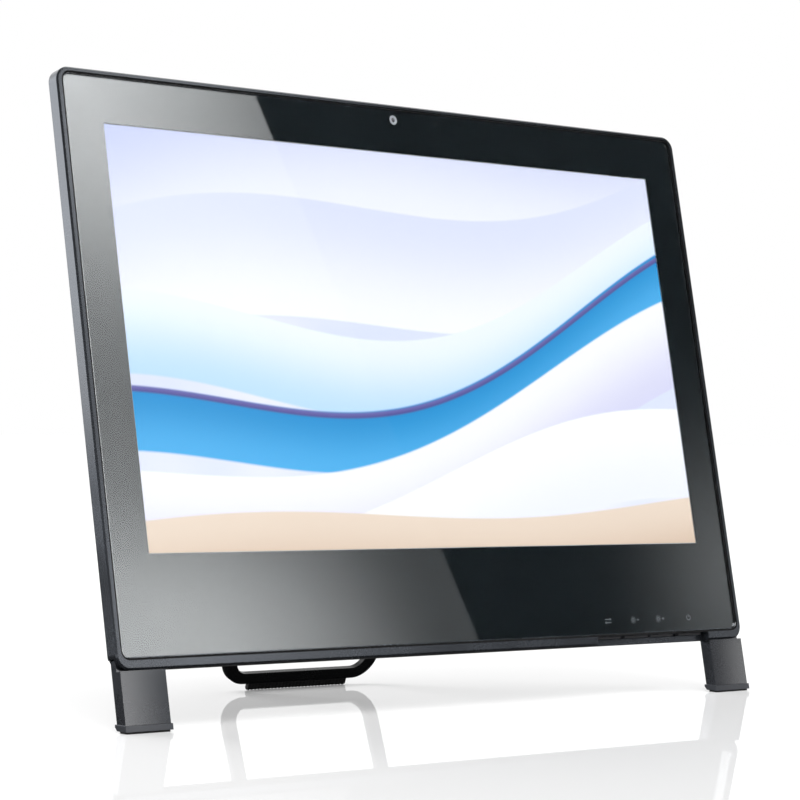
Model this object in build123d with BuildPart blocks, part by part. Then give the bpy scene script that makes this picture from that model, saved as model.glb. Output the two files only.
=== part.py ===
from build123d import *
from math import cos, radians, sin, sqrt
import os

# All-in-one desktop computer on two front feet and one folding rear loop stand.
# Millimetres, +Z up, the screen faces -Y and leans back. The origin lies under the middle
# of the whole machine, on the surface that it stands on.
#
# Most sizes are given in the panel's own terms:
#   x      to the right, from the middle
#   height up along the glass, from the front edge of the feet's soles
#   depth  into the machine, from the front face

# ---- Overall ----
tilt = 12.2
frame_width = 543.0
frame_height = 373.0
frame_rise = 37.9
frame_corner = 9.5
rim_depth = 9.4
rim_wall = 2.5
rim_chamfer = 1.1

# ---- Glass and the frame round it ----
bezel_side = 3.6
bezel_top = 2.7
bezel_bottom = 5.7
groove = 1.3
glass_thickness = 2.0
glass_corner = 5.0
film_thickness = 0.3
film_gap = 0.05
film_margin = 0.8
flange_width = 17.0
flange_thickness = 1.7

# ---- Display ----
screen_width = 476.6
screen_height = 268.1
screen_border_top = 30.6
lcd_margin = 12.0
lcd_depth = 8.0
lcd_lip = 0.6
lcd_wall = 0.7
cell_thickness = 1.6
guide_thickness = 4.0
tray_thickness = 0.8
layer_gap = 0.15

# ---- Camera and microphones ----
camera_drop = 6.4
camera_diameter = 6.5
microphone_reach = 38.5
microphone_diameter = 3.2
microphone_hole = 1.2
camera_board_height = 7.0
camera_board_thickness = 1.0
camera_window_half = 43.0

# ---- Buttons in the notch of the bottom rail ----
button_places = (140.0, 166.5, 191.5, 220.0)
button_names = ("mode_button", "brightness_down_button", "brightness_up_button", "power_button")
button_width = 23.0
button_height = 1.4
button_depth = 3.7
button_travel = 0.5
stem_width = 3.0
stem_thickness = 1.8
stem_length = 4.4
notch_margin = 14.0
notch_depth = 6.4
notch_wall = 1.5
slide_clearance = 0.15

# ---- Chassis ----
chassis_depth = 12.0
chassis_thickness = 1.0
chassis_inset = 9.0
boss_radius = 3.5
frame_screw_radius = 1.25

# ---- Rear cover ----
cover_back = 50.0
cover_wall = 2.5
cover_step = 0.6
cover_side_draw = 34.0
cover_end_draw = 26.0
cover_corner = 24.0
cover_edge = 6.0
cover_post_radius = 4.5
cover_screw_radius = 1.75
screw_recess = 3.0

# ---- Port bay in the rear cover ----
bay_left = 92.0
bay_right = 198.0
bay_roof = 96.0
bay_floor = 19.0
port_gap = 0.3

# ---- Main board and what sits on it ----
board_left = 90.0
board_width = 136.0
board_bottom = 100.5
board_height = 240.0
board_front = 19.0
board_thickness = 1.6
standoff_radius = 3.0
board_screw_radius = 1.25
processor_size = 37.5
processor_thickness = 3.0
processor_place = (130.0, 285.0)
cold_plate_size = 46.0
cold_plate_thickness = 4.0
module_width = 67.6
module_height = 30.0
module_thickness = 1.2
socket_thickness = 5.0
socket_height = 7.0
memory_place = (190.0, 300.0)
memory_pitch = 44.0

# ---- Cooling ----
pipe_radius = 3.0
pipe_bend = 22.0
fin_width = 84.0
fin_height = 12.0
fin_depth = 14.0
fin_count = 21
fin_thickness = 1.0
fin_rise = 374.0
fan_rise = 322.0
fan_size = 84.0
fan_front = 24.0
fan_depth = 14.0
fan_wall = 1.5
rotor_radius = 30.0
rotor_hub = 12.0
blade_count = 11
fan_shaft_radius = 1.5
shaft_clearance = 0.05

# ---- Hard drive ----
drive_width = 101.6
drive_length = 147.0
drive_thickness = 26.1
drive_place = (-164.0, 223.5)
caddy_wall = 1.0

# ---- Speakers ----
speaker_width = 46.0
speaker_height = 26.0
speaker_depth = 14.0
speaker_reach = 225.0
speaker_rise = 71.0

# ---- Front feet ----
foot_width = 32.8
foot_inset = 1.7
foot_depth = 8.9
foot_front = 0.3
tang_width = 19.0
tang_top = 80.0
shoe_top = 4.9
shoe_lip = 0.8
pad_thickness = 1.2
sole_chamfer = 2.2

# ---- Rear stand ----
pivot_rise = 229.4
pivot_depth = 58.0
stand_lean = 20.0
stand_half_width = 68.5
leg_width = 10.6
stand_thickness = 4.0
bar_height = 7.7
stand_outer_corner = 20.0
stand_inner_corner = 11.0
rubber_half_length = 43.5
rubber_step = 3.4
knuckle_radius = 5.0
pin_radius = 2.5
pin_head_radius = 3.6
pin_head_height = 1.2
ear_thickness = 3.0
ear_gap = 0.3
ear_radius = 6.0
bracket_width = 30.0
bracket_height = 44.0
bracket_base = 2.5
support_sheet = 2.5
support_foot = 6.0
hinge_screw_radius = 2.0

# ---- Worked out from the sizes above ----
rise = cos(radians(tilt))
lean = sin(radians(tilt))
frame_top = frame_rise + frame_height
frame_middle = frame_rise + frame_height / 2
window_width = frame_width - 2 * bezel_side
window_bottom = frame_rise + bezel_bottom
window_top = frame_top - bezel_top
glass_width = window_width - 2 * groove
glass_bottom = window_bottom + groove
glass_top = window_top - groove
glass_height = glass_top - glass_bottom
glass_middle = (glass_top + glass_bottom) / 2
film_front = glass_thickness + film_gap
film_back = film_front + film_thickness
flange_back = film_back + flange_thickness
screen_middle = glass_top - screen_border_top - screen_height / 2
lcd_width = screen_width + 19.0
lcd_height = screen_height + 2 * lcd_margin
lcd_front = film_back + 0.1
lcd_back = lcd_front + lcd_depth
chassis_back = chassis_depth + chassis_thickness
board_back = board_front + board_thickness
foot_place = frame_width / 2 - foot_inset - foot_width / 2
leg_place = stand_half_width - leg_width / 2
pivot_height = pivot_rise * rise - pivot_depth * lean
rubber_radius = stand_thickness / 2
sole_reach = (pivot_height - rubber_radius) / cos(radians(stand_lean))
front_reach = (foot_front - shoe_lip) * rise
back_reach = (
    pivot_rise * lean
    + pivot_depth * rise
    + sole_reach * sin(radians(stand_lean))
    + stand_thickness / 2 * cos(radians(stand_lean))
)
middle = (front_reach + back_reach) / 2


def across(height, depth):
    """Y and Z of a point given by its height and depth in the panel."""
    return height * lean + depth * rise - middle, height * rise - depth * lean


def at_level(level, depth):
    """Y and Z of the point of a depth that is at a level over the table."""
    return across((level + depth * lean) / rise, depth)


def panel(depth):
    """Plane parallel to the glass, facing the user. Sketches on it use x and height."""
    origin_y, origin_z = across(0, depth)
    return Plane(origin=(0, origin_y, origin_z), x_dir=(1, 0, 0), z_dir=(0, -rise, lean))


def shelf(height):
    """Plane square to the glass, facing up. Sketches on it use x and depth."""
    origin_y, origin_z = across(height, 0)
    return Plane(origin=(0, origin_y, origin_z), x_dir=(1, 0, 0), z_dir=(0, lean, rise))


def slab(width, height, centre, front, back, corner=0.0, mode=Mode.ADD):
    """Flat block between two depths, in the part that is being built."""
    with BuildSketch(panel(back)) as outline:
        with Locations(centre):
            if corner:
                RectangleRounded(width, height, corner)
            else:
                Rectangle(width, height)
    extrude(outline.sketch, amount=back - front, mode=mode)


def span(left, right, bottom, top, front, back, corner=0.0, mode=Mode.ADD):
    """The same block, given by its edges."""
    centre = ((left + right) / 2, (bottom + top) / 2)
    slab(right - left, top - bottom, centre, front, back, corner, mode)


def discs(radius, centres, front, back, mode=Mode.ADD):
    """Round bosses, holes or screws between two depths."""
    with BuildSketch(panel(back)) as outline:
        with Locations(*centres):
            Circle(radius)
    extrude(outline.sketch, amount=back - front, mode=mode)


def screws(shank_radius, head_radius, centres, tip, seat, head_height):
    """Pan-head screws driven from behind, with a hexagonal recess in each head."""
    discs(shank_radius, centres, tip, seat)
    discs(head_radius, centres, seat, seat + head_height)
    with BuildSketch(panel(seat + head_height)) as drive:
        with Locations(*centres):
            RegularPolygon(radius=head_radius * 0.5, side_count=6)
    extrude(drive.sketch, amount=head_height * 0.6, mode=Mode.SUBTRACT)


def cover_outline(depth, shrink=0.0):
    """Width, height and corner radius of the rear cover at a depth."""
    share = (depth - rim_depth) / (cover_back - rim_depth)
    width = frame_width - 2 * (cover_step + share * cover_side_draw + shrink)
    height = frame_height - 2 * (cover_step + share * cover_end_draw + shrink)
    corner = frame_corner - cover_step + share * (cover_corner - frame_corner)
    return width, height, max(corner - shrink, 2.0)


os.makedirs("parts", exist_ok=True)

# ---- Front frame: a shallow rim with a flange that the glass is bonded to ----
side_boss = frame_width / 2 - 13.0
boss_spots = [
    (side * side_boss, height)
    for side in (-1, 1)
    for height in (frame_rise + 56, frame_rise + 144, frame_top - 120, frame_top - 26)
]
boss_spots += [(side * 90.0, frame_rise + 12.5) for side in (-1, 1)]
boss_spots += [(side * 130.0, frame_top - 11) for side in (-1, 1)]
notch_left = button_places[0] - notch_margin
notch_right = foot_place - foot_width / 2 - 0.3
notch_top = glass_bottom - 0.9
stem_spots = [(place, flange_back + 0.2 + stem_thickness / 2) for place in button_places]
camera_height = glass_top - camera_drop

with BuildPart() as front_frame:
    slab(frame_width, frame_height, (0, frame_middle), 0, rim_depth, frame_corner)
    forward = Axis((0, 0, 0), (0, -rise, lean))
    chamfer(front_frame.faces().sort_by(forward)[-1].edges(), length=rim_chamfer)
    span(
        -window_width / 2, window_width / 2, window_bottom, window_top,
        -1, film_back, glass_corner + groove, Mode.SUBTRACT,
    )
    slab(
        frame_width - 2 * flange_width, frame_height - 2 * flange_width,
        (0, frame_middle), 0, rim_depth, 4.0, Mode.SUBTRACT,
    )
    slab(
        frame_width - 2 * rim_wall, frame_height - 2 * rim_wall, (0, frame_middle),
        flange_back, rim_depth, frame_corner - rim_wall, Mode.SUBTRACT,
    )
    discs(boss_radius, boss_spots, flange_back, chassis_depth)
    discs(frame_screw_radius + shaft_clearance, boss_spots, flange_back + 0.5, chassis_depth, Mode.SUBTRACT)
    span(
        -camera_window_half, camera_window_half, camera_height - 5, camera_height + 4,
        0, rim_depth, 1.0, Mode.SUBTRACT,
    )
    # Room behind the front bead for the two feet.
    for side in (-1, 1):
        inner = side * (foot_place - foot_width / 2 - 0.3)
        outer = side * (frame_width / 2 + 3)
        span(
            min(inner, outer), max(inner, outer), frame_rise - 3, glass_bottom,
            flange_back - 0.2, rim_depth + 1, 0, Mode.SUBTRACT,
        )
    # Finger notch under the buttons, with its own back wall and ceiling.
    span(notch_left, notch_right, frame_rise - 1, notch_top, -1, notch_depth, 0, Mode.SUBTRACT)
    span(notch_left, notch_right, frame_rise, notch_top + notch_wall, notch_depth, notch_depth + notch_wall)
    span(notch_left, notch_right, notch_top, notch_top + notch_wall, flange_back, notch_depth + notch_wall)
    with BuildSketch(shelf(notch_top - 1)) as stem_holes:
        with Locations(*stem_spots):
            Rectangle(stem_width + 2 * slide_clearance, stem_thickness + 2 * slide_clearance)
    extrude(stem_holes.sketch, amount=notch_wall + 2, mode=Mode.SUBTRACT)
front_frame.part.label = "front_frame"
export_step(front_frame.part, "parts/front_frame.step")

# ---- Front glass, with the two microphone holes ----
microphone_spots = [(side * microphone_reach, camera_height) for side in (-1, 1)]
with BuildPart() as front_glass:
    slab(glass_width, glass_height, (0, glass_middle), 0, glass_thickness, glass_corner)
    discs(microphone_hole / 2, microphone_spots, 0, glass_thickness, Mode.SUBTRACT)
front_glass.part.label = "front_glass"
export_step(front_glass.part, "parts/front_glass.step")

# ---- Black border film behind the glass, open at the screen and the camera ----
with BuildPart() as black_border_film:
    slab(
        glass_width - 2 * film_margin, glass_height - 2 * film_margin, (0, glass_middle),
        film_front, film_back, glass_corner - film_margin,
    )
    slab(
        screen_width + 2, screen_height + 2, (0, screen_middle),
        film_front, film_back, 0, Mode.SUBTRACT,
    )
    discs(camera_diameter / 2 + 0.1, [(0, camera_height)], film_front, film_back, Mode.SUBTRACT)
    discs(microphone_hole / 2, microphone_spots, film_front, film_back, Mode.SUBTRACT)
black_border_film.part.label = "black_border_film"
export_step(black_border_film.part, "parts/black_border_film.step")

# ---- Display: steel bezel, liquid crystal cell, light guide and tray ----
cell_front = lcd_front + lcd_lip + layer_gap
guide_front = cell_front + cell_thickness + layer_gap
tray_front = guide_front + guide_thickness + layer_gap
screen_spot = (0, screen_middle)

with BuildPart() as lcd_bezel:
    slab(lcd_width, lcd_height, screen_spot, lcd_front, lcd_back)
    slab(screen_width + 1, screen_height + 1, screen_spot, lcd_front, lcd_back, 0, Mode.SUBTRACT)
    slab(
        lcd_width - 2 * lcd_wall, lcd_height - 2 * lcd_wall, screen_spot,
        lcd_front + lcd_lip, lcd_back, 0, Mode.SUBTRACT,
    )
lcd_bezel.part.label = "lcd_bezel"
export_step(lcd_bezel.part, "parts/lcd_bezel.step")

inner_width = lcd_width - 2 * lcd_wall - 2 * layer_gap
inner_height = lcd_height - 2 * lcd_wall - 2 * layer_gap
with BuildPart() as lcd_cell:
    slab(inner_width, inner_height, screen_spot, cell_front, cell_front + cell_thickness)
lcd_cell.part.label = "lcd_cell"
export_step(lcd_cell.part, "parts/lcd_cell.step")

with BuildPart() as light_guide:
    slab(inner_width, inner_height, screen_spot, guide_front, guide_front + guide_thickness)
light_guide.part.label = "light_guide"
export_step(light_guide.part, "parts/light_guide.step")

with BuildPart() as backlight_tray:
    slab(inner_width, inner_height, screen_spot, tray_front, tray_front + tray_thickness)
backlight_tray.part.label = "backlight_tray"
export_step(backlight_tray.part, "parts/backlight_tray.step")

# ---- Camera board, lens and microphones ----
camera_board_half = camera_window_half + 5.0
with BuildPart() as webcam_board:
    slab(
        2 * camera_board_half, camera_board_height, (0, camera_height),
        flange_back, flange_back + camera_board_thickness,
    )
    slab(9.0, 6.5, (0, camera_height), flange_back, flange_back + camera_board_thickness + 3.0)
webcam_board.part.label = "webcam_board"
export_step(webcam_board.part, "parts/webcam_board.step")

with BuildPart() as webcam_lens:
    discs(camera_diameter / 2, [(0, camera_height)], glass_thickness + 0.1, flange_back)
    discs(camera_diameter / 4, [(0, camera_height)], glass_thickness + 0.1, film_back + 0.2, Mode.SUBTRACT)
webcam_lens.part.label = "webcam_lens"
export_step(webcam_lens.part, "parts/webcam_lens.step")

with BuildPart() as microphones:
    discs(microphone_diameter / 2, microphone_spots, film_back, flange_back)
microphones.part.label = "microphones"
export_step(microphones.part, "parts/microphones.step")

# ---- Buttons: a cap under the rail, a stem and a flange that keeps it in ----
cap_top = notch_top - button_travel - 0.1
stem_top = cap_top + stem_length
flange_low = notch_top + notch_wall + 0.05
for stem_spot, name in zip(stem_spots, button_names):
    cap_spot = (stem_spot[0], film_back + 0.1 + button_depth / 2)
    with BuildPart() as button:
        with BuildSketch(shelf(cap_top - button_height)):
            with Locations(cap_spot):
                RectangleRounded(button_width, button_depth, 0.8)
        extrude(amount=button_height)
        with BuildSketch(shelf(cap_top)):
            with Locations(stem_spot):
                Rectangle(stem_width, stem_thickness)
        extrude(amount=stem_length)
        with BuildSketch(shelf(flange_low)):
            with Locations(stem_spot):
                Rectangle(stem_width + 3, stem_thickness)
        extrude(amount=0.8)
    button.part.label = name
    export_step(button.part, f"parts/{name}.step")

# ---- Button board with four push switches over the stems ----
switch_low = stem_top + button_travel + 0.1
switch_height = 2.0
switch_board_low = switch_low + switch_height
with BuildPart() as button_board:
    with BuildSketch(shelf(switch_low)):
        with Locations(*stem_spots):
            Rectangle(5.0, stem_thickness)
    extrude(amount=switch_height)
    with BuildSketch(shelf(switch_board_low)):
        with Locations(((button_places[0] + button_places[-1]) / 2, 0)):
            with Locations((0, flange_back + 3.4)):
                Rectangle(button_places[-1] - button_places[0] + 16, 6.8)
    extrude(amount=1.2)
button_board.part.label = "button_board"
export_step(button_board.part, "parts/button_board.step")

# ---- Chassis plate: carries the display in front and the boards behind ----
board_spots = [
    (board_left + 5 + column * (board_width - 10) / 2, board_bottom + 25 + row * (board_height - 32))
    for column in (0, 1, 2)
    for row in (0, 1)
]
low_post = (speaker_rise + speaker_height / 2 + board_bottom) / 2
cover_spots = [(side * (frame_width / 2 - 55), low_post) for side in (-1, 1)]
cover_spots += [(side * (frame_width / 2 - 75), frame_top - 62) for side in (-1, 1)]
cover_spots += [(side * 60.0, frame_top - 75) for side in (-1, 1)]
tang_place = foot_place + 1.7
tang_low = frame_rise + 6.5
foot_spots = [
    (side * tang_place, height) for side in (-1, 1) for height in (tang_top - 24, tang_top - 8)
]
driver_spots = [(side * 30.0, height) for side in (-1, 1) for height in (124.0, 166.0)]
cable_slot = (0, screen_middle - 62.3)
pad_spots = [
    (side * (lcd_width / 2 - 8), screen_middle + end * (lcd_height / 2 - 25))
    for side in (-1, 1)
    for end in (-1, 1)
]

with BuildPart() as chassis_plate:
    slab(
        frame_width - 2 * chassis_inset, frame_height - 2 * chassis_inset, (0, frame_middle),
        chassis_depth, chassis_back, 6.0,
    )
    with BuildSketch(panel(chassis_depth)):
        with Locations(*pad_spots):
            Rectangle(14, 40)
    extrude(amount=chassis_depth - lcd_back)
    discs(frame_screw_radius + shaft_clearance, boss_spots, chassis_depth, chassis_back, Mode.SUBTRACT)
    discs(board_screw_radius + shaft_clearance, board_spots, chassis_depth, chassis_back, Mode.SUBTRACT)
    discs(cover_screw_radius + shaft_clearance, cover_spots, chassis_depth, chassis_back, Mode.SUBTRACT)
    discs(frame_screw_radius + shaft_clearance, foot_spots, chassis_depth, chassis_back, Mode.SUBTRACT)
    slab(26.0, 6.0, cable_slot, chassis_depth, chassis_back, 1.0, Mode.SUBTRACT)
chassis_plate.part.label = "chassis_plate"
export_step(chassis_plate.part, "parts/chassis_plate.step")

with BuildPart() as frame_screws:
    screws(frame_screw_radius, 2.6, boss_spots, chassis_depth - 6, chassis_back, 1.6)
frame_screws.part.label = "frame_screws"
export_step(frame_screws.part, "parts/frame_screws.step")

# ---- Main board with its chips, on six standoffs ----
board_right = board_left + board_width
board_top = board_bottom + board_height
plate_front = board_back + processor_thickness
cell_place = (112.0, 168.0)
card_place = (196.0, 158.0)
cable_height = 188.0
cable_width = 10.0
with BuildPart() as motherboard:
    span(board_left, board_right, board_bottom, board_top, board_front, board_back)
    discs(board_screw_radius + 0.2, board_spots, board_front, board_back, Mode.SUBTRACT)
    slab(28.0, 28.0, (156.0, 205.0), board_back, board_back + 2.2)
    slab(9.0, 60.0, (98.0, 285.0), board_back, board_back + 5.0)
    slab(40.0, 8.0, (130.0, 322.0), board_back, board_back + 3.4)
    slab(16.0, 7.0, (card_place[0], card_place[1] - 17.0), board_back, board_back + 3.0)
    span(board_left, board_left + 6, cable_height - 9, cable_height + 9, board_front - 3.4, board_front)
    with BuildSketch(panel(board_back + 7)) as capacitors:
        with Locations((112.0, 240.0)):
            with GridLocations(9.0, 9.0, 4, 2):
                Circle(3.2)
    extrude(capacitors.sketch, amount=7)
    discs(11.5, [cell_place], board_back, board_back + 3.6)
    discs(10.1, [cell_place], board_back + 1.0, board_back + 3.6, Mode.SUBTRACT)
motherboard.part.label = "motherboard"
export_step(motherboard.part, "parts/motherboard.step")

with BuildPart() as coin_cell:
    discs(10.0, [cell_place], board_back + 1.0, board_back + 4.2)
coin_cell.part.label = "coin_cell"
export_step(coin_cell.part, "parts/coin_cell.step")

with BuildPart() as wireless_card:
    slab(30.0, 27.0, card_place, board_back + 3.0, board_back + 4.0)
    slab(22.0, 14.0, (card_place[0], card_place[1] + 3.0), board_back + 4.0, board_back + 5.6)
wireless_card.part.label = "wireless_card"
export_step(wireless_card.part, "parts/wireless_card.step")

driver_front = 17.0
driver_back = driver_front + board_thickness
with BuildPart() as board_standoffs:
    discs(standoff_radius, board_spots, chassis_back, board_front)
    discs(standoff_radius, driver_spots, chassis_back, driver_front)
    discs(board_screw_radius + shaft_clearance, board_spots, chassis_back, board_front, Mode.SUBTRACT)
    discs(board_screw_radius + shaft_clearance, driver_spots, chassis_back, driver_front, Mode.SUBTRACT)
board_standoffs.part.label = "board_standoffs"
export_step(board_standoffs.part, "parts/board_standoffs.step")

with BuildPart() as board_screws:
    screws(board_screw_radius, 2.6, board_spots, board_front - 5, board_back, 1.8)
    screws(board_screw_radius, 2.6, driver_spots, driver_front - 3.5, driver_back, 1.8)
board_screws.part.label = "board_screws"
export_step(board_screws.part, "parts/board_screws.step")

with BuildPart() as processor:
    slab(processor_size, processor_size, processor_place, board_back, board_back + 1.6)
    slab(processor_size - 6, processor_size - 6, processor_place, board_back, plate_front, 2.0)
processor.part.label = "processor"
export_step(processor.part, "parts/processor.step")

# ---- Two memory modules in their sockets, flat over the board ----
module_front = board_back + 1.9
memory_rows = [memory_place[1] - row * memory_pitch for row in (0, 1)]
with BuildPart() as memory_sockets:
    for row in memory_rows:
        base = row - module_height / 2 - socket_height / 2 + 2
        slab(module_width + 4, socket_height, (memory_place[0], base), board_back, board_back + socket_thickness)
        slab(
            module_width + 0.4, module_height, (memory_place[0], row),
            module_front - 0.1, module_front + module_thickness + 0.1, 0, Mode.SUBTRACT,
        )
memory_sockets.part.label = "memory_sockets"
export_step(memory_sockets.part, "parts/memory_sockets.step")

with BuildPart() as memory_modules:
    for row in memory_rows:
        slab(
            module_width, module_height - 0.2, (memory_place[0], row),
            module_front, module_front + module_thickness,
        )
        with BuildSketch(panel(module_front + module_thickness + 1)) as chips:
            with Locations((memory_place[0], row + 4)):
                with GridLocations(15.5, 1, 4, 1):
                    Rectangle(11.0, 13.0)
        extrude(chips.sketch, amount=1)
memory_modules.part.label = "memory_modules"
export_step(memory_modules.part, "parts/memory_modules.step")

# ---- Cooling: cold plate, heat pipe, fins and blower ----
pipe_depth = plate_front + cold_plate_thickness
pipe_x = processor_place[0]
fin_front = pipe_depth - fin_depth / 2
fin_back = pipe_depth + fin_depth / 2
pipe_seat = pipe_radius + shaft_clearance
pipe_low = processor_place[1] - cold_plate_size / 2
pipe_start = panel(pipe_depth).from_local_coords((pipe_x, pipe_low, 0))

with BuildPart() as cold_plate:
    slab(cold_plate_size, cold_plate_size, processor_place, plate_front, pipe_depth + 1.0, 3.0)
    with BuildSketch(shelf(pipe_low - 1)) as pipe_groove:
        with Locations((pipe_x, pipe_depth)):
            Circle(pipe_seat)
    extrude(pipe_groove.sketch, amount=cold_plate_size + 2, mode=Mode.SUBTRACT)
cold_plate.part.label = "cold_plate"
export_step(cold_plate.part, "parts/cold_plate.step")

with BuildPart() as heat_pipe:
    with BuildLine(panel(pipe_depth)) as pipe_route:
        FilletPolyline(
            (pipe_x, pipe_low), (pipe_x, fin_rise), (-fin_width / 2, fin_rise), radius=pipe_bend
        )
    with BuildSketch(Plane(origin=pipe_start, x_dir=(1, 0, 0), z_dir=(0, lean, rise))):
        Circle(pipe_radius)
    sweep()
heat_pipe.part.label = "heat_pipe"
export_step(heat_pipe.part, "parts/heat_pipe.step")

with BuildPart() as heat_fins:
    slab(fin_width, fin_height, (0, fin_rise), fin_front, fin_front + 1.0)
    fin_pitch = (fin_width - fin_thickness) / (fin_count - 1)
    with BuildSketch(panel(fin_back)) as fins:
        with Locations((0, fin_rise)):
            with GridLocations(fin_pitch, 1, fin_count, 1):
                Rectangle(fin_thickness, fin_height)
    extrude(fins.sketch, amount=fin_depth)
    fin_y, fin_z = across(fin_rise, pipe_depth)
    with BuildSketch(Plane.YZ.offset(-fin_width / 2 - 1)) as pipe_hole:
        with Locations((fin_y, fin_z)):
            Circle(pipe_seat)
    extrude(pipe_hole.sketch, amount=fin_width + 2, mode=Mode.SUBTRACT)
heat_fins.part.label = "heat_fins"
export_step(heat_fins.part, "parts/heat_fins.step")

fan_back = fan_front + fan_depth
fan_spot = (0, fan_rise)
fan_legs = [
    (side * (fan_size / 2 - 4), fan_rise + end * (fan_size / 2 - 4))
    for side in (-1, 1)
    for end in (-1, 1)
]
with BuildPart() as fan_housing:
    slab(fan_size, fan_size, fan_spot, fan_front, fan_back, 5.0)
    discs(rotor_radius + 3, [fan_spot], fan_front + fan_wall, fan_back - fan_wall, Mode.SUBTRACT)
    span(
        -rotor_radius, rotor_radius, fan_rise, fan_rise + fan_size / 2,
        fan_front + fan_wall, fan_back - fan_wall, 0, Mode.SUBTRACT,
    )
    discs(rotor_radius - 5, [fan_spot], fan_back - fan_wall, fan_back, Mode.SUBTRACT)
    discs(6.0, [fan_spot], fan_front, fan_front + 4.0)
    discs(fan_shaft_radius + shaft_clearance, [fan_spot], fan_front + 0.6, fan_back, Mode.SUBTRACT)
    discs(3.0, fan_legs, chassis_back, fan_front)
fan_housing.part.label = "fan_housing"
export_step(fan_housing.part, "parts/fan_housing.step")

with BuildPart() as fan_rotor:
    discs(fan_shaft_radius, [fan_spot], fan_front + 0.7, fan_front + 5.0)
    discs(rotor_hub, [fan_spot], fan_front + 4.3, fan_back - fan_wall - 0.5)
    with BuildSketch(panel(fan_back - fan_wall - 0.5)) as blades:
        with Locations(fan_spot):
            with PolarLocations((rotor_radius + rotor_hub) / 2 - 1, blade_count):
                with Locations(Location((0, 0), 24)):
                    Rectangle(rotor_radius - rotor_hub + 2, 1.2)
    extrude(blades.sketch, amount=fan_depth - 2 * fan_wall - 4)
fan_rotor.part.label = "fan_rotor"
export_step(fan_rotor.part, "parts/fan_rotor.step")

# ---- Hard drive in a sheet caddy ----
drive_front = chassis_back + caddy_wall + 0.2
drive_back = drive_front + drive_thickness
caddy_half = drive_width / 2 + 0.2 + caddy_wall
screw_rows = [drive_place[1] - 41, drive_place[1] + 41]
drive_screw_depth = drive_front + 6.4
with BuildPart() as hard_drive:
    slab(drive_width, drive_length, drive_place, drive_front, drive_back, 2.0)
    slab(drive_width - 8, drive_length - 30, (drive_place[0], drive_place[1] + 8), drive_back - 1, drive_back)
    discs(22.0, [(drive_place[0], drive_place[1] + 18)], drive_back - 0.8, drive_back, Mode.SUBTRACT)
    for row in screw_rows:
        row_y, row_z = across(row, drive_screw_depth)
        with BuildSketch(Plane.YZ.offset(drive_place[0] - drive_width)) as side_holes:
            with Locations((row_y, row_z)):
                Circle(1.6)
        extrude(side_holes.sketch, amount=2 * drive_width, mode=Mode.SUBTRACT)
hard_drive.part.label = "hard_drive"
export_step(hard_drive.part, "parts/hard_drive.step")

with BuildPart() as drive_caddy:
    slab(2 * caddy_half, drive_length - 6, drive_place, chassis_back, drive_front + 14)
    slab(2 * caddy_half - 2 * caddy_wall, drive_length, drive_place, drive_front - 0.2, drive_back, 0, Mode.SUBTRACT)
    for row in screw_rows:
        row_y, row_z = across(row, drive_screw_depth)
        with BuildSketch(Plane.YZ.offset(drive_place[0] - drive_width)) as side_holes:
            with Locations((row_y, row_z)):
                Circle(1.7)
        extrude(side_holes.sketch, amount=2 * drive_width, mode=Mode.SUBTRACT)
drive_caddy.part.label = "drive_caddy"
export_step(drive_caddy.part, "parts/drive_caddy.step")

with BuildPart() as drive_screws:
    for side in (-1, 1):
        for row in screw_rows:
            row_y, row_z = across(row, drive_screw_depth)
            seat = drive_place[0] + side * caddy_half
            with BuildSketch(Plane.YZ.offset(seat)) as shank:
                with Locations((row_y, row_z)):
                    Circle(1.5)
            extrude(shank.sketch, amount=-side * 5.0)
            with BuildSketch(Plane.YZ.offset(seat)) as head:
                with Locations((row_y, row_z)):
                    Circle(2.9)
            extrude(head.sketch, amount=side * 1.5)
drive_screws.part.label = "drive_screws"
export_step(drive_screws.part, "parts/drive_screws.step")

# ---- Display driver board ----
with BuildPart() as driver_board:
    span(-34, 34, 120, 170, driver_front, driver_back)
    discs(board_screw_radius + 0.2, driver_spots, driver_front, driver_back, Mode.SUBTRACT)
    slab(18.0, 18.0, (0, 140.0), driver_back, driver_back + 3.0)
    slab(24.0, 6.0, (0, 164.0), driver_back, driver_back + 3.0)
    discs(4.0, [(-22.0, 146.0), (22.0, 146.0)], driver_back, driver_back + 9.0)
driver_board.part.label = "driver_board"
export_step(driver_board.part, "parts/driver_board.step")

# ---- Flat cables: display to driver board, drive to main board ----
ribbon = 0.6
cable_front = tray_front + tray_thickness + 0.3 + ribbon / 2
cable_back = driver_back + 1.5
display_points = [
    (cable_slot[1] + 24, cable_front), (cable_slot[1], cable_front),
    (cable_slot[1], cable_back), (167.0, cable_back),
]
with BuildPart() as display_cable:
    with BuildSketch(Plane.YZ.offset(-10)):
        with BuildLine():
            FilletPolyline(*[across(height, depth) for height, depth in display_points], radius=2.5)
        trace(line_width=ribbon)
    extrude(amount=20)
display_cable.part.label = "display_cable"
export_step(display_cable.part, "parts/display_cable.step")

drive_edge = drive_place[0] + caddy_half
plug_depth = board_front - 1.7
drive_points = [
    (drive_edge, plug_depth), (drive_edge + 16, plug_depth),
    (drive_edge + 26, chassis_back + 0.8), (board_left - 22, chassis_back + 0.8),
    (board_left - 12, plug_depth), (board_left, plug_depth),
]
with BuildPart() as drive_cable:
    with BuildSketch(shelf(cable_height - cable_width / 2)):
        with BuildLine():
            FilletPolyline(*drive_points, radius=6)
        trace(line_width=ribbon)
    extrude(amount=cable_width)
drive_cable.part.label = "drive_cable"
export_step(drive_cable.part, "parts/drive_cable.step")

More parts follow.
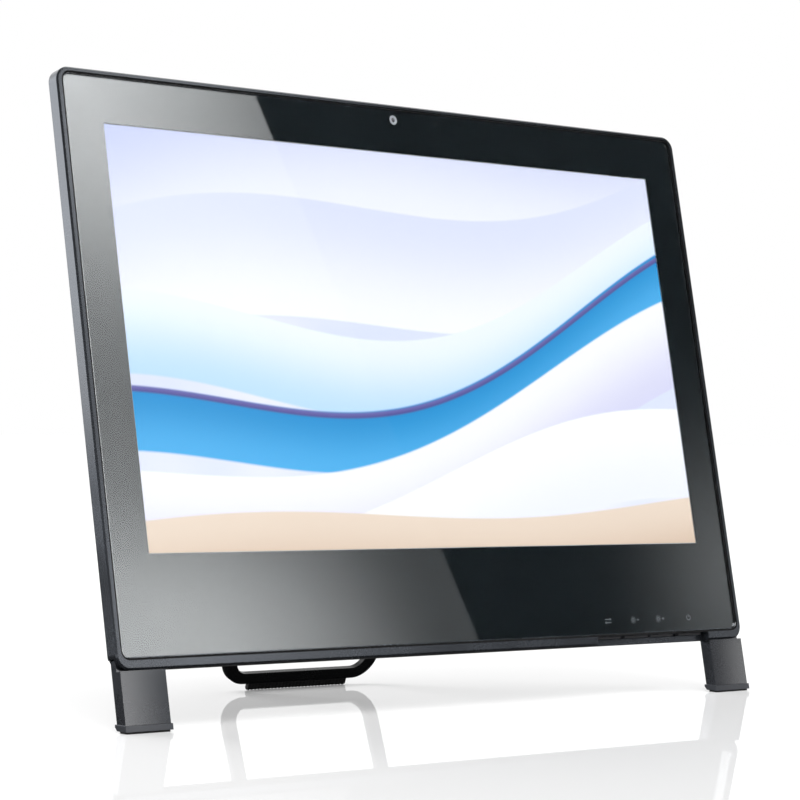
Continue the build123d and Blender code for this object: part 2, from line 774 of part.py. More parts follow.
# ---- Speakers, facing down behind the chin ----
for side, name in ((-1, "speaker_left"), (1, "speaker_right")):
    spot = (side * speaker_reach, speaker_rise)
    with BuildPart() as speaker:
        slab(speaker_width, speaker_height, spot, chassis_back, chassis_back + speaker_depth, 3.0)
        with BuildSketch(shelf(speaker_rise - speaker_height / 2)) as cone:
            with Locations((spot[0], chassis_back + speaker_depth / 2)):
                SlotOverall(speaker_width - 8, speaker_depth - 3)
        extrude(cone.sketch, amount=3.0, mode=Mode.SUBTRACT)
    speaker.part.label = name
    export_step(speaker.part, f"parts/{name}.step")

# ---- Ports: their mouths open down into the bay ----
port_mouth = bay_roof + 0.4
port_length = 15.0
network_place = 168.0
network_size = (16.0, 13.4)
usb_places = (132.5, 149.0)
usb_size = (14.0, 15.6)
video_place = 115.5
video_size = (15.6, 6.2)
inlet_place = 100.5
inlet_size = (9.4, 11.0)
audio_places = (181.5, 191.0)
audio_size = (7.0, 7.0)
port_roof = port_mouth + port_length


def port_shell(place, size):
    """Block of a connector, standing on the main board."""
    span(place - size[0] / 2, place + size[0] / 2, port_mouth, port_roof, board_back, board_back + size[1])


def port_hole(place, size, low, high, deep):
    """Rectangular socket cut up into a connector from its mouth."""
    half = size / 2
    span(place - half, place + half, port_mouth, port_mouth + deep, low, high, 0, Mode.SUBTRACT)


with BuildPart() as network_port:
    port_shell(network_place, network_size)
    port_hole(network_place, 12.0, board_back + 2.2, board_back + 10.6, 11.0)
    port_hole(network_place, 6.0, board_back + 1.0, board_back + 2.2, 11.0)
network_port.part.label = "network_port"
export_step(network_port.part, "parts/network_port.step")

with BuildPart() as usb_ports:
    for place in usb_places:
        port_shell(place, usb_size)
        for low in (1.3, 9.2):
            port_hole(place, 12.4, board_back + low, board_back + low + 1.5, 9.5)
            port_hole(place, 12.4, board_back + low + 3.4, board_back + low + 5.0, 9.5)
            port_hole(place, 12.4, board_back + low, board_back + low + 5.0, 1.2)
usb_ports.part.label = "usb_ports"
export_step(usb_ports.part, "parts/usb_ports.step")

with BuildPart() as video_port:
    port_shell(video_place, video_size)
    port_hole(video_place, 14.0, board_back + 0.8, board_back + 2.4, 9.0)
    port_hole(video_place, 14.0, board_back + 3.5, board_back + 5.3, 9.0)
    port_hole(video_place, 14.0, board_back + 0.8, board_back + 5.3, 1.0)
video_port.part.label = "video_port"
export_step(video_port.part, "parts/video_port.step")


def jack(place, size, bore):
    """Block with a round bore from its mouth."""
    port_shell(place, size)
    with BuildSketch(shelf(port_mouth)) as mouth:
        with Locations((place, board_back + size[1] / 2)):
            Circle(bore)
    extrude(mouth.sketch, amount=port_length - 3, mode=Mode.SUBTRACT)


with BuildPart() as audio_jacks:
    for place in audio_places:
        jack(place, audio_size, 1.8)
audio_jacks.part.label = "audio_jacks"
export_step(audio_jacks.part, "parts/audio_jacks.step")

with BuildPart() as power_inlet:
    jack(inlet_place, inlet_size, 3.3)
    with BuildSketch(shelf(port_mouth + 2)) as contact:
        with Locations((inlet_place, board_back + inlet_size[1] / 2)):
            Circle(0.9)
    extrude(contact.sketch, amount=port_length - 4)
power_inlet.part.label = "power_inlet"
export_step(power_inlet.part, "parts/power_inlet.step")

# ---- Rear cover: a drafted shell with the port bay, screw posts and vents ----
side_slope = cover_side_draw / (cover_back - rim_depth)
wall_reach = cover_wall * sqrt(1 + side_slope**2)
ceiling = cover_back - cover_wall
hinge_spots = [
    (side * leg_place + across_x, pivot_rise + up)
    for side in (-1, 1)
    for across_x in (-10.0, 10.0)
    for up in (-16.0, 16.0)
]
port_cutouts = [(network_place, network_size), (video_place, video_size), (inlet_place, inlet_size)]
port_cutouts += [(place, usb_size) for place in usb_places]
port_cutouts += [(place, audio_size) for place in audio_places]

with BuildPart() as cavity:
    for depth in (rim_depth, ceiling):
        with BuildSketch(panel(depth)):
            width, height, corner = cover_outline(depth, wall_reach)
            with Locations((0, frame_middle)):
                RectangleRounded(width, height, corner)
    loft()
    span(
        bay_left - cover_wall, bay_right + cover_wall, frame_rise, bay_roof + cover_wall,
        bay_floor - cover_wall, ceiling, 0, Mode.SUBTRACT,
    )
    discs(cover_post_radius, cover_spots, chassis_back, ceiling, Mode.SUBTRACT)

with BuildPart() as rear_cover:
    for depth in (rim_depth, cover_back):
        with BuildSketch(panel(depth)):
            width, height, corner = cover_outline(depth)
            with Locations((0, frame_middle)):
                RectangleRounded(width, height, corner)
    loft()
    rearward = Axis((0, 0, 0), (0, rise, -lean))
    fillet(rear_cover.faces().sort_by(rearward)[-1].edges(), radius=cover_edge)
    add(cavity.part, mode=Mode.SUBTRACT)
    span(bay_left, bay_right, frame_rise - 5, bay_roof, bay_floor, cover_back + 1, 2.0, Mode.SUBTRACT)
    for place, size in port_cutouts:
        span(
            place - size[0] / 2 - port_gap, place + size[0] / 2 + port_gap,
            bay_roof - 1, bay_roof + cover_wall + 1,
            board_back - port_gap, board_back + size[1] + port_gap, 0, Mode.SUBTRACT,
        )
    # Screw holes: deep counterbores for the cover, clear holes for the hinge.
    discs(cover_screw_radius + 0.2, cover_spots, chassis_back, cover_back, Mode.SUBTRACT)
    discs(cover_screw_radius + 2.3, cover_spots, cover_back - screw_recess, cover_back, Mode.SUBTRACT)
    discs(hinge_screw_radius + 0.2, hinge_spots, ceiling, cover_back, Mode.SUBTRACT)
    # Vents: fan grille, long rows above and below, speaker slots, lock slot.
    with BuildSketch(panel(cover_back)) as vents:
        with Locations((0, fan_rise)):
            with GridLocations(6.0, 26.0, 11, 2):
                SlotOverall(20.0, 2.6, rotation=90)
        for side in (-1, 1):
            with Locations((side * 150.0, frame_top - 100)):
                with GridLocations(7.0, 1, 18, 1):
                    SlotOverall(26.0, 3.0, rotation=90)
        with Locations((-60.0, frame_rise + 72)):
            with GridLocations(7.0, 1, 24, 1):
                SlotOverall(22.0, 3.0, rotation=90)
        with Locations((-(frame_width / 2 - 95), frame_rise + 38)):
            SlotOverall(7.0, 3.0)
    extrude(vents.sketch, amount=cover_wall, mode=Mode.SUBTRACT)
    for side in (-1, 1):
        with BuildSketch(shelf(frame_rise)) as speaker_slots:
            with Locations((side * speaker_reach, chassis_back + speaker_depth / 2)):
                with GridLocations(6.0, 1, 7, 1):
                    SlotOverall(10.0, 2.4, rotation=90)
        extrude(speaker_slots.sketch, amount=speaker_rise - speaker_height / 2 - frame_rise, mode=Mode.SUBTRACT)
    # The foot tangs pass just inside the seam.
    for side in (-1, 1):
        slab(
            tang_width + 1, tang_top - tang_low + 1, (side * tang_place, (tang_top + tang_low) / 2),
            rim_depth, chassis_depth + 0.4, 0, Mode.SUBTRACT,
        )
rear_cover.part.label = "rear_cover"
export_step(rear_cover.part, "parts/rear_cover.step")

with BuildPart() as cover_screws:
    screws(cover_screw_radius, 3.4, cover_spots, chassis_depth - 0.5, cover_back - screw_recess, 2.2)
cover_screws.part.label = "cover_screws"
export_step(cover_screws.part, "parts/cover_screws.step")

# ---- Front feet: cast legs with a tang, pressed shoes and rubber pads ----
rim_gap = 0.4
leg_back = foot_front + foot_depth
leg_outline = [
    at_level(shoe_top, foot_front),
    across(frame_rise - rim_gap, foot_front),
    across(frame_rise - rim_gap, flange_back),
    across(tang_low, flange_back),
    across(tang_low, leg_back),
    at_level(shoe_top, leg_back),
]
shoe_front = foot_front - shoe_lip
shoe_back = leg_back + shoe_lip
heel_y = at_level(shoe_top, shoe_back)[0]
shoe_outline = [
    at_level(pad_thickness, shoe_front),
    at_level(shoe_top, shoe_front),
    (heel_y, shoe_top),
    (heel_y, pad_thickness + sole_chamfer),
    (heel_y - sole_chamfer, pad_thickness),
]
for side, name in ((-1, "left"), (1, "right")):
    with BuildPart() as foot:
        with BuildSketch(Plane.YZ.offset(side * foot_place - foot_width / 2)):
            with BuildLine():
                Polyline(*leg_outline, close=True)
            make_face()
        extrude(amount=foot_width)
        slab(
            tang_width, tang_top - tang_low, (side * tang_place, (tang_top + tang_low) / 2),
            flange_back, chassis_depth,
        )
        spots = [spot for spot in foot_spots if spot[0] * side > 0]
        discs(frame_screw_radius + shaft_clearance, spots, flange_back + 0.5, chassis_depth, Mode.SUBTRACT)
    foot.part.label = f"foot_{name}"
    export_step(foot.part, f"parts/foot_{name}.step")

    with BuildPart() as shoe:
        with BuildSketch(Plane.YZ.offset(side * foot_place - foot_width / 2 - shoe_lip)):
            with BuildLine():
                Polyline(*shoe_outline, close=True)
            make_face()
        extrude(amount=foot_width + 2 * shoe_lip)
    shoe.part.label = f"foot_shoe_{name}"
    export_step(shoe.part, f"parts/foot_shoe_{name}.step")

    with BuildPart() as pad:
        pad_front = shoe_outline[0][0] + 0.4
        pad_back = shoe_outline[-1][0] - 0.3
        with BuildSketch(Plane.XY):
            with Locations((side * foot_place, (pad_front + pad_back) / 2)):
                RectangleRounded(foot_width - 1, pad_back - pad_front, 1.5)
        extrude(amount=pad_thickness)
    pad.part.label = f"foot_pad_{name}"
    export_step(pad.part, f"parts/foot_pad_{name}.step")

with BuildPart() as foot_screws:
    screws(frame_screw_radius, 2.6, foot_spots, chassis_depth - 6, chassis_back, 1.6)
foot_screws.part.label = "foot_screws"
export_step(foot_screws.part, "parts/foot_screws.step")

# ---- Rear stand: a flat loop on two knuckles ----
pivot_y, pivot_z = across(pivot_rise, pivot_depth)
lean_back = radians(stand_lean)
stand_plane = Plane(
    origin=(0, pivot_y, pivot_z), x_dir=(1, 0, 0), z_dir=(0, -cos(lean_back), -sin(lean_back))
)
bar_end = rubber_step - sole_reach
loop_top = knuckle_radius * 0.4
with BuildPart() as stand_frame:
    with BuildSketch(stand_plane.offset(-stand_thickness / 2)):
        with Locations((0, (loop_top + bar_end) / 2)):
            Rectangle(2 * stand_half_width, loop_top - bar_end)
        with Locations((0, (loop_top + bar_end + bar_height) / 2)):
            inner_half = stand_half_width - leg_width
            Rectangle(2 * inner_half, loop_top - bar_end - bar_height, mode=Mode.SUBTRACT)
    extrude(amount=stand_thickness)
    low_edges = stand_frame.edges().filter_by(Axis((0, 0, 0), stand_plane.z_dir))
    low_edges = low_edges.filter_by(lambda edge: edge.center().Z < pivot_z / 2)
    corners = low_edges.sort_by(Axis.X)
    fillet([corners[0], corners[-1]], radius=stand_outer_corner)
    inner_corners = stand_frame.edges().filter_by(Axis((0, 0, 0), stand_plane.z_dir))
    inner_corners = inner_corners.filter_by(
        lambda edge: edge.center().Z < pivot_z / 2 and abs(abs(edge.center().X) - inner_half) < 0.01
    )
    fillet(inner_corners, radius=stand_inner_corner)
    for side in (-1, 1):
        with BuildSketch(Plane.YZ.offset(side * leg_place - leg_width / 2)) as knuckle:
            with Locations((pivot_y, pivot_z)):
                Circle(knuckle_radius)
        extrude(knuckle.sketch, amount=leg_width)
        with BuildSketch(Plane.YZ.offset(side * leg_place - leg_width)) as pin_hole:
            with Locations((pivot_y, pivot_z)):
                Circle(pin_radius + shaft_clearance)
        extrude(pin_hole.sketch, amount=2 * leg_width, mode=Mode.SUBTRACT)
stand_frame.part.label = "stand_frame"
export_step(stand_frame.part, "parts/stand_frame.step")

sole_plane = Plane(origin=(0, pivot_y, pivot_z), x_dir=(0, cos(lean_back), sin(lean_back)), z_dir=(1, 0, 0))
with BuildPart() as stand_rubber:
    with BuildSketch(sole_plane.offset(-rubber_half_length)):
        with Locations((0, -sole_reach)):
            Circle(rubber_radius)
            Rectangle(stand_thickness, stand_thickness, align=(Align.CENTER, Align.MIN), mode=Mode.SUBTRACT)
        with Locations((0, bar_end - rubber_step / 2)):
            Rectangle(stand_thickness, rubber_step)
    extrude(amount=2 * rubber_half_length)
stand_rubber.part.label = "stand_rubber"
export_step(stand_rubber.part, "parts/stand_rubber.step")

# ---- Hinges: a bracket with two ears each side, its pin, and the support inside ----
base_back = cover_back + bracket_base
for side, name in ((-1, "left"), (1, "right")):
    with BuildPart() as bracket:
        slab(bracket_width, bracket_height, (side * leg_place, pivot_rise), cover_back, base_back, 3.0)
        for end in (-1, 1):
            ear_x = side * leg_place + end * (leg_width / 2 + ear_gap + ear_thickness / 2)
            slab(ear_thickness, 2 * ear_radius, (ear_x, pivot_rise), cover_back, pivot_depth)
            with BuildSketch(Plane.YZ.offset(ear_x - ear_thickness / 2)) as ear:
                with Locations((pivot_y, pivot_z)):
                    Circle(ear_radius)
            extrude(ear.sketch, amount=ear_thickness)
        with BuildSketch(Plane.YZ.offset(side * leg_place - bracket_width)) as pin_hole:
            with Locations((pivot_y, pivot_z)):
                Circle(pin_radius + shaft_clearance / 2)
        extrude(pin_hole.sketch, amount=2 * bracket_width, mode=Mode.SUBTRACT)
        spots = [spot for spot in hinge_spots if spot[0] * side > 0]
        discs(hinge_screw_radius + shaft_clearance, spots, cover_back, base_back, Mode.SUBTRACT)
    bracket.part.label = f"hinge_bracket_{name}"
    export_step(bracket.part, f"parts/hinge_bracket_{name}.step")

    with BuildPart() as pin:
        pin_half = leg_width / 2 + ear_gap + ear_thickness
        with BuildSketch(Plane.YZ.offset(side * leg_place - pin_half)) as shank:
            with Locations((pivot_y, pivot_z)):
                Circle(pin_radius)
        extrude(shank.sketch, amount=2 * pin_half)
        for end in (-1, 1):
            with BuildSketch(Plane.YZ.offset(side * leg_place + end * pin_half)) as head:
                with Locations((pivot_y, pivot_z)):
                    Circle(pin_head_radius)
            extrude(head.sketch, amount=end * pin_head_height)
    pin.part.label = f"hinge_pin_{name}"
    export_step(pin.part, f"parts/hinge_pin_{name}.step")

support_half = bracket_width / 2
with BuildPart() as hinge_supports:
    for side in (-1, 1):
        place = side * leg_place
        slab(bracket_width, bracket_height, (place, pivot_rise), chassis_back, ceiling)
        slab(
            bracket_width - 2 * support_sheet, bracket_height + 2, (place, pivot_rise),
            chassis_back, ceiling - support_sheet, 0, Mode.SUBTRACT,
        )
        for end in (-1, 1):
            slab(
                support_foot, bracket_height, (place + end * (support_half + support_foot / 2), pivot_rise),
                chassis_back, chassis_back + support_sheet,
            )
    discs(hinge_screw_radius + shaft_clearance, hinge_spots, ceiling - support_sheet, ceiling, Mode.SUBTRACT)
hinge_supports.part.label = "hinge_supports"
export_step(hinge_supports.part, "parts/hinge_supports.step")

with BuildPart() as hinge_screws:
    screws(hinge_screw_radius, 3.4, hinge_spots, ceiling - support_sheet - 0.5, base_back, 2.0)
hinge_screws.part.label = "hinge_screws"
export_step(hinge_screws.part, "parts/hinge_screws.step")
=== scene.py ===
from math import cos, pi, radians, sin

import bmesh
import bpy
from mathutils import Matrix, Vector


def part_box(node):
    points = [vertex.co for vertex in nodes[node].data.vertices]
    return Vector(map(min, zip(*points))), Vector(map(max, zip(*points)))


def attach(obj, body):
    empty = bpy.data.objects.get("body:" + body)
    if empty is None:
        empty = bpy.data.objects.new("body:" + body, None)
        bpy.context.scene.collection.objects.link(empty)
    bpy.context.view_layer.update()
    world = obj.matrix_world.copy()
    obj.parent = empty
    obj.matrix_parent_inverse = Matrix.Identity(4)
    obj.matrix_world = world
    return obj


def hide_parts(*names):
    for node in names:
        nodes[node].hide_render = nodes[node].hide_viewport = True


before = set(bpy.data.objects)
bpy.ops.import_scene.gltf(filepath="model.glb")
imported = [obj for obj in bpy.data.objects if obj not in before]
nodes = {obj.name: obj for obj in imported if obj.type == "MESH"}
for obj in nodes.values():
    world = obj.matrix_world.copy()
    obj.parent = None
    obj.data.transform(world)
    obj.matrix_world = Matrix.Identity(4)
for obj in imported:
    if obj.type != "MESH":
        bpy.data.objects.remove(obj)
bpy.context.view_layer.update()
print("frame loaded with", len(nodes), "nodes")

# Places on the leaning panel are x, height up the glass and depth behind it, in metres.
panel = {"tilt": 12.2, "middle": 0.09148938}
panelRise, panelLean = cos(radians(panel["tilt"])), sin(radians(panel["tilt"]))
upPanel = (0.0, panelLean, panelRise)


def onPanel(x, height, depth):
    y = height * panelLean + depth * panelRise - panel["middle"]
    return Vector((x, y, height * panelRise - depth * panelLean))


def panelMatrix(x, height, depth, turn=0.0):
    # Local X goes right, Y up the panel and Z out of its face.
    axes = Matrix(((1, 0, 0), (0, panelLean, -panelRise), (0, panelRise, panelLean))).to_4x4()
    return Matrix.Translation(onPanel(x, height, depth)) @ axes @ Matrix.Rotation(turn, 4, "X")


class Recipe:
    # A material's node tree, with short calls for what the finishes use.
    def __init__(self, name, tree=None):
        if tree is None:
            self.material = bpy.data.materials.new(name)
            self.material.use_nodes = True
            tree = self.material.node_tree
        self.tree = tree
        self.tree.nodes.clear()
        self.place = self.add("ShaderNodeTexCoord").outputs["Object"]

    def add(self, kind, inputs=None, **settings):
        node = self.tree.nodes.new(kind)
        for setting, value in settings.items():
            setattr(node, setting, value)
        for key, value in (inputs or {}).items():
            if isinstance(value, bpy.types.NodeSocket):
                self.tree.links.new(value, node.inputs[key])
            else:
                node.inputs[key].default_value = value
        return node

    def sum(self, operation, first, second=0.0, third=0.0):
        return self.add("ShaderNodeMath", {0: first, 1: second, 2: third}, operation=operation).outputs[0]

    def along(self, direction, offset=0.0):
        dot = self.add("ShaderNodeVectorMath", {0: self.place, 1: direction}, operation="DOT_PRODUCT")
        return self.sum("ADD", dot.outputs["Value"], offset)

    def span(self, value, low, high, toLow=0.0, toHigh=1.0, kind="SMOOTHSTEP"):
        inputs = {"Value": value, "From Min": low, "From Max": high, "To Min": toLow, "To Max": toHigh}
        return self.add("ShaderNodeMapRange", inputs, interpolation_type=kind).outputs["Result"]

    def mix(self, share, first, second):
        node = self.add("ShaderNodeMix", {0: share, 6: first, 7: second}, data_type="RGBA")
        return node.outputs[2]

    def noise(self, scale, detail=2.0, stretch=(1, 1, 1), offset=(0, 0, 0)):
        spot = self.add("ShaderNodeVectorMath", {0: self.place, 1: stretch, 2: offset},
                        operation="MULTIPLY_ADD")
        return self.add("ShaderNodeTexNoise",
                        {"Vector": spot.outputs[0], "Scale": scale, "Detail": detail}).outputs[0]

    def close(self, shader):
        self.add("ShaderNodeOutputMaterial", {"Surface": shader.outputs[0]})
        return self.material


def tint(colour, share):
    return tuple(min(1.0, part * share) for part in colour) + (1.0,)


def coatedSurface(name, colour, roughness, metallic=0.0, shade=0.12, spread=0.05, grain=900.0, bump=0.00001,
                  stretch=(1, 1, 1), edge=0.0003, wear=0.0, sockets=None):
    # Clouded colour and gloss, a fine grain, edges that catch light, and wear along them.
    recipe = Recipe(name)
    cloud = recipe.noise(16.0, 4.0)
    fine = recipe.noise(grain, 2.0, stretch)
    mixed = recipe.mix(recipe.span(cloud, 0.3, 0.7), tint(colour, 1 - shade), tint(colour, 1 + shade))
    rounded = recipe.add("ShaderNodeBevel", {"Radius": edge}, samples=4).outputs[0]
    if wear:
        flat = recipe.add("ShaderNodeNewGeometry").outputs["Normal"]
        bend = recipe.add("ShaderNodeVectorMath", {0: rounded, 1: flat},
                          operation="DOT_PRODUCT").outputs["Value"]
        rubbed = recipe.span(bend, 0.995, 0.93, 0.0, wear)
        patchy = recipe.sum("MULTIPLY", rubbed, recipe.span(recipe.noise(60.0, 3.0), 0.35, 0.65))
        mixed = recipe.mix(patchy, mixed, tint(colour, 2.6))
    gloss = recipe.sum("ADD", recipe.span(cloud, 0.25, 0.75, -spread, spread),
                       recipe.span(fine, 0.2, 0.8, roughness - spread / 2, roughness + spread / 2))
    raised = recipe.add("ShaderNodeBump",
                        {"Strength": 1.0, "Distance": bump, "Height": fine, "Normal": rounded})
    inputs = {"Base Color": mixed, "Roughness": gloss, "Metallic": metallic, "Normal": raised.outputs[0]}
    return recipe.close(recipe.add("ShaderNodeBsdfPrincipled", {**inputs, **(sockets or {})}))


def printedBoard(name):
    # Green lacquer over a maze of copper tracks, with pale pads.
    recipe = Recipe(name)
    cells = recipe.add("ShaderNodeTexVoronoi", {"Vector": recipe.place, "Scale": 260.0, "Randomness": 0.4},
                       distance="MANHATTAN", feature="F1")
    tracks = recipe.span(recipe.sum("FRACT", recipe.sum("MULTIPLY", cells.outputs["Distance"], 5.0)), 0.45,
                         0.6)
    lacquer = recipe.mix(tracks, (0.008, 0.075, 0.03, 1), (0.018, 0.17, 0.07, 1))
    pads = recipe.span(recipe.noise(420.0, 0.0), 0.7, 0.74)
    colour = recipe.mix(pads, lacquer, (0.6, 0.58, 0.5, 1))
    raised = recipe.add("ShaderNodeBump", {"Strength": 1.0, "Distance": 0.00004, "Height": tracks})
    inputs = {"Base Color": colour, "Roughness": recipe.span(tracks, 0, 1, 0.45, 0.3),
              "Normal": raised.outputs[0]}
    return recipe.close(recipe.add("ShaderNodeBsdfPrincipled", inputs))


screenArea = {"left": -0.2383, "width": 0.4766, "bottom": 0.10825, "height": 0.2681}
wallpaper = {
    "top": (0.72, 0.75, 0.93, 1), "bottom": (0.90, 0.91, 0.98, 1), "haze": (0.58, 0.68, 0.92, 1),
    "strength": 1.0,
    # height, slope, swing, waves, phase, width, colour of the low edge, colour of the high edge
    "ribbons": [
        (0.80, 0.30, 0.10, 4.2, 0.4, 0.42, (0.88, 0.90, 0.99, 1), (0.55, 0.60, 0.86, 1)),
        (0.56, 0.34, 0.10, 4.6, 1.2, 0.30, (0.93, 0.94, 1.00, 1), (0.72, 0.76, 0.94, 1)),
        (0.40, 0.30, 0.13, 4.9, 2.1, 0.20, (0.52, 0.74, 0.95, 1), (0.86, 0.92, 1.00, 1)),
        (0.22, 0.40, 0.13, 4.7, 2.4, 0.15, (0.08, 0.44, 0.84, 1), (0.02, 0.28, 0.63, 1)),
        (0.29, 0.39, 0.13, 4.7, 2.4, 0.014, (0.09, 0.08, 0.30, 1), (0.16, 0.15, 0.42, 1)),
        (0.04, 0.40, 0.11, 4.5, 2.9, 0.24, (0.70, 0.70, 0.90, 1), (0.95, 0.95, 1.00, 1)),
        (-0.08, 0.28, 0.07, 5.4, 3.4, 0.24, (0.88, 0.90, 0.98, 1), (0.98, 0.98, 1.00, 1)),
        (-0.06, 0.05, 0.022, 6.2, 0.6, 0.24, (0.58, 0.40, 0.28, 1), (0.84, 0.70, 0.58, 1)),
    ],
}


def screenPicture(name):
    # A plain flowing wallpaper, lit from behind.
    recipe = Recipe(name)
    u = recipe.span(recipe.along((1, 0, 0)), screenArea["left"], screenArea["left"] + screenArea["width"],
                    kind="LINEAR")
    rise = recipe.along(upPanel, panel["middle"] * panelLean)
    v = recipe.span(rise, screenArea["bottom"], screenArea["bottom"] + screenArea["height"], kind="LINEAR")
    colour = recipe.mix(v, wallpaper["bottom"], wallpaper["top"])
    blur = recipe.span(recipe.noise(9.0, 1.0), 0.35, 0.65)
    colour = recipe.mix(recipe.sum("MULTIPLY", blur, 0.4), colour, wallpaper["haze"])
    for height, slope, swing, waves, phase, width, low, high in wallpaper["ribbons"]:
        wave = recipe.sum("SINE", recipe.sum("MULTIPLY_ADD", u, waves, phase))
        centre = recipe.sum("ADD", recipe.sum("MULTIPLY_ADD", u, slope, height),
                            recipe.sum("MULTIPLY", wave, swing))
        offset = recipe.sum("SUBTRACT", v, centre)
        inside = recipe.sum("MULTIPLY", recipe.span(offset, -width / 2 - 0.004, -width / 2 + 0.004),
                            recipe.span(offset, width / 2 + 0.004, width / 2 - 0.004))
        shade = recipe.mix(recipe.span(offset, -width / 2, width / 2), low, high)
        colour = recipe.mix(inside, colour, shade)
    unlit = recipe.mix(0.15, (0.01, 0.01, 0.012, 1), colour)
    inputs = {"Base Color": unlit, "Roughness": recipe.span(recipe.noise(700.0), 0.3, 0.7, 0.5, 0.62),
              "Specular IOR Level": 0.15, "Emission Color": colour,
              "Emission Strength": wallpaper["strength"]}
    return recipe.close(recipe.add("ShaderNodeBsdfPrincipled", inputs))


def clearGlass(name, colour, ior, roughness):
    # Polished sheet with a faint dust haze in its gloss.
    recipe = Recipe(name)
    haze = recipe.span(recipe.noise(40.0, 5.0), 0.5, 0.8, roughness, roughness + 0.006)
    inputs = {"Base Color": colour, "Roughness": haze, "IOR": ior, "Transmission Weight": 1.0}
    return recipe.close(recipe.add("ShaderNodeBsdfPrincipled", inputs))


finishes = {
    "frame_paint": dict(colour=(0.115, 0.127, 0.147), roughness=0.24, metallic=0.92, shade=0.10,
                        grain=1500.0,
                        bump=0.000004, edge=0.0005, wear=0.30,
                        sockets={"Coat Weight": 0.6, "Coat Roughness": 0.12}),
    "black_print": dict(colour=(0.020, 0.027, 0.031), roughness=0.012, shade=0.05, spread=0.002, grain=30.0,
                        bump=0.0, edge=0.00005, sockets={"IOR": 2.3}),
    "bright_steel": dict(colour=(0.62, 0.63, 0.65), roughness=0.32, metallic=1.0, grain=500.0,
                         stretch=(0.06, 1, 1)),
    "clear_plastic": dict(colour=(0.85, 0.87, 0.88), roughness=0.25, shade=0.03, grain=300.0),
    "screw_steel": dict(colour=(0.55, 0.56, 0.58), roughness=0.3, metallic=1.0, grain=900.0,
                        stretch=(1, 0.1, 1)),
    "lens_metal": dict(colour=(0.60, 0.62, 0.66), roughness=0.34, metallic=0.7, grain=1500.0, edge=0.0001),
    "button_plastic": dict(colour=(0.03, 0.031, 0.035), roughness=0.42, grain=1200.0, wear=0.2),
    "brass": dict(colour=(0.75, 0.58, 0.28), roughness=0.28, metallic=1.0, grain=800.0),
    "port_plastic": dict(colour=(0.02, 0.02, 0.022), roughness=0.5, grain=1400.0, edge=0.0001),
    "copper": dict(colour=(0.72, 0.35, 0.2), roughness=0.3, metallic=1.0, grain=700.0, stretch=(1, 0.1, 1)),
    "aluminium": dict(colour=(0.65, 0.66, 0.68), roughness=0.35, metallic=1.0, grain=900.0,
                      stretch=(1, 1, 0.1)),
    "cable_film": dict(colour=(0.05, 0.05, 0.06), roughness=0.38, grain=1500.0, stretch=(1, 0.02, 0.02)),
    "port_metal": dict(colour=(0.6, 0.61, 0.63), roughness=0.26, metallic=1.0, grain=900.0, edge=0.0001,
                       stretch=(1, 1, 0.08)),
    "cover_plastic": dict(colour=(0.030, 0.031, 0.035), roughness=0.46, shade=0.06, grain=1100.0,
                          bump=0.00006,
                          edge=0.0006, wear=0.18),
    "black_screw": dict(colour=(0.03, 0.03, 0.035), roughness=0.36, metallic=0.8, grain=900.0, wear=0.4),
    "foot_metal": dict(colour=(0.070, 0.076, 0.088), roughness=0.26, metallic=0.9, shade=0.08, grain=1500.0,
                       bump=0.000004, edge=0.0005, wear=0.3,
                       sockets={"Coat Weight": 1.0, "Coat Roughness": 0.05}),
    "shoe_metal": dict(colour=(0.105, 0.112, 0.128), roughness=0.30, metallic=0.85, shade=0.08,
                       grain=1500.0,
                       bump=0.000004, edge=0.0004, wear=0.35,
                       sockets={"Coat Weight": 0.5, "Coat Roughness": 0.1}),
    "rubber": dict(colour=(0.012, 0.012, 0.013), roughness=0.62, shade=0.2, grain=700.0, bump=0.00003),
    "stand_metal": dict(colour=(0.006, 0.0065, 0.0075), roughness=0.24, metallic=0.2, shade=0.1,
                        grain=1300.0,
                        bump=0.000004, edge=0.0006, wear=0.3),
    "pin_steel": dict(colour=(0.5, 0.5, 0.52), roughness=0.24, metallic=1.0, grain=900.0,
                      stretch=(1, 1, 0.1)),
}
glassLook = {"colour": (0.97, 0.985, 0.99, 1), "ior": 1.22, "roughness": 0.0}
slotFinish = {slot: coatedSurface(slot + "_finish", **look) for slot, look in finishes.items()}
slotFinish["circuit_board"] = printedBoard("circuit_board_finish")
slotFinish["display"] = screenPicture("display_picture")
slotFinish["front_glass"] = clearGlass("front_glass_finish", **glassLook)
goldContact = coatedSurface("gold_contact", (0.83, 0.60, 0.25), 0.22, metallic=1.0, grain=1500.0,
                            edge=0.00005)
# Painted light: the icon print glows faintly in place of the lamp light that the glass keeps off it.
printWithPaintedGlow = coatedSurface("icon_print_painted_glow", (0.30, 0.31, 0.33), 0.5, grain=1500.0, edge=0.00002,
                           sockets={"Emission Color": (0.62, 0.66, 0.72, 1), "Emission Strength": 0.075})
lensCoating = coatedSurface("lens_coating", (0.012, 0.008, 0.025), 0.06, grain=300.0, bump=0.0000005,
                            edge=0.00005,
                            sockets={"IOR": 1.9, "Coat Weight": 1.0, "Coat Roughness": 0.02})
limeRing = coatedSurface("line_out_ring", (0.18, 0.50, 0.10), 0.4, grain=1200.0, edge=0.00005)
pinkRing = coatedSurface("microphone_ring", (0.62, 0.16, 0.22), 0.4, grain=1200.0, edge=0.00005)
for node in nodes.values():
    node.data.materials[0] = slotFinish[node.data.materials[0].name]
print("finishes set on", len(nodes), "nodes")


def newPiece(name, mesh, body, matrix=None, finish=None):
    if matrix is not None:
        mesh.transform(matrix)
    if finish is not None:
        mesh.materials.clear()
        mesh.materials.append(finish)
    piece = bpy.data.objects.new(name, mesh)
    bpy.context.scene.collection.objects.link(piece)
    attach(piece, body)
    return piece


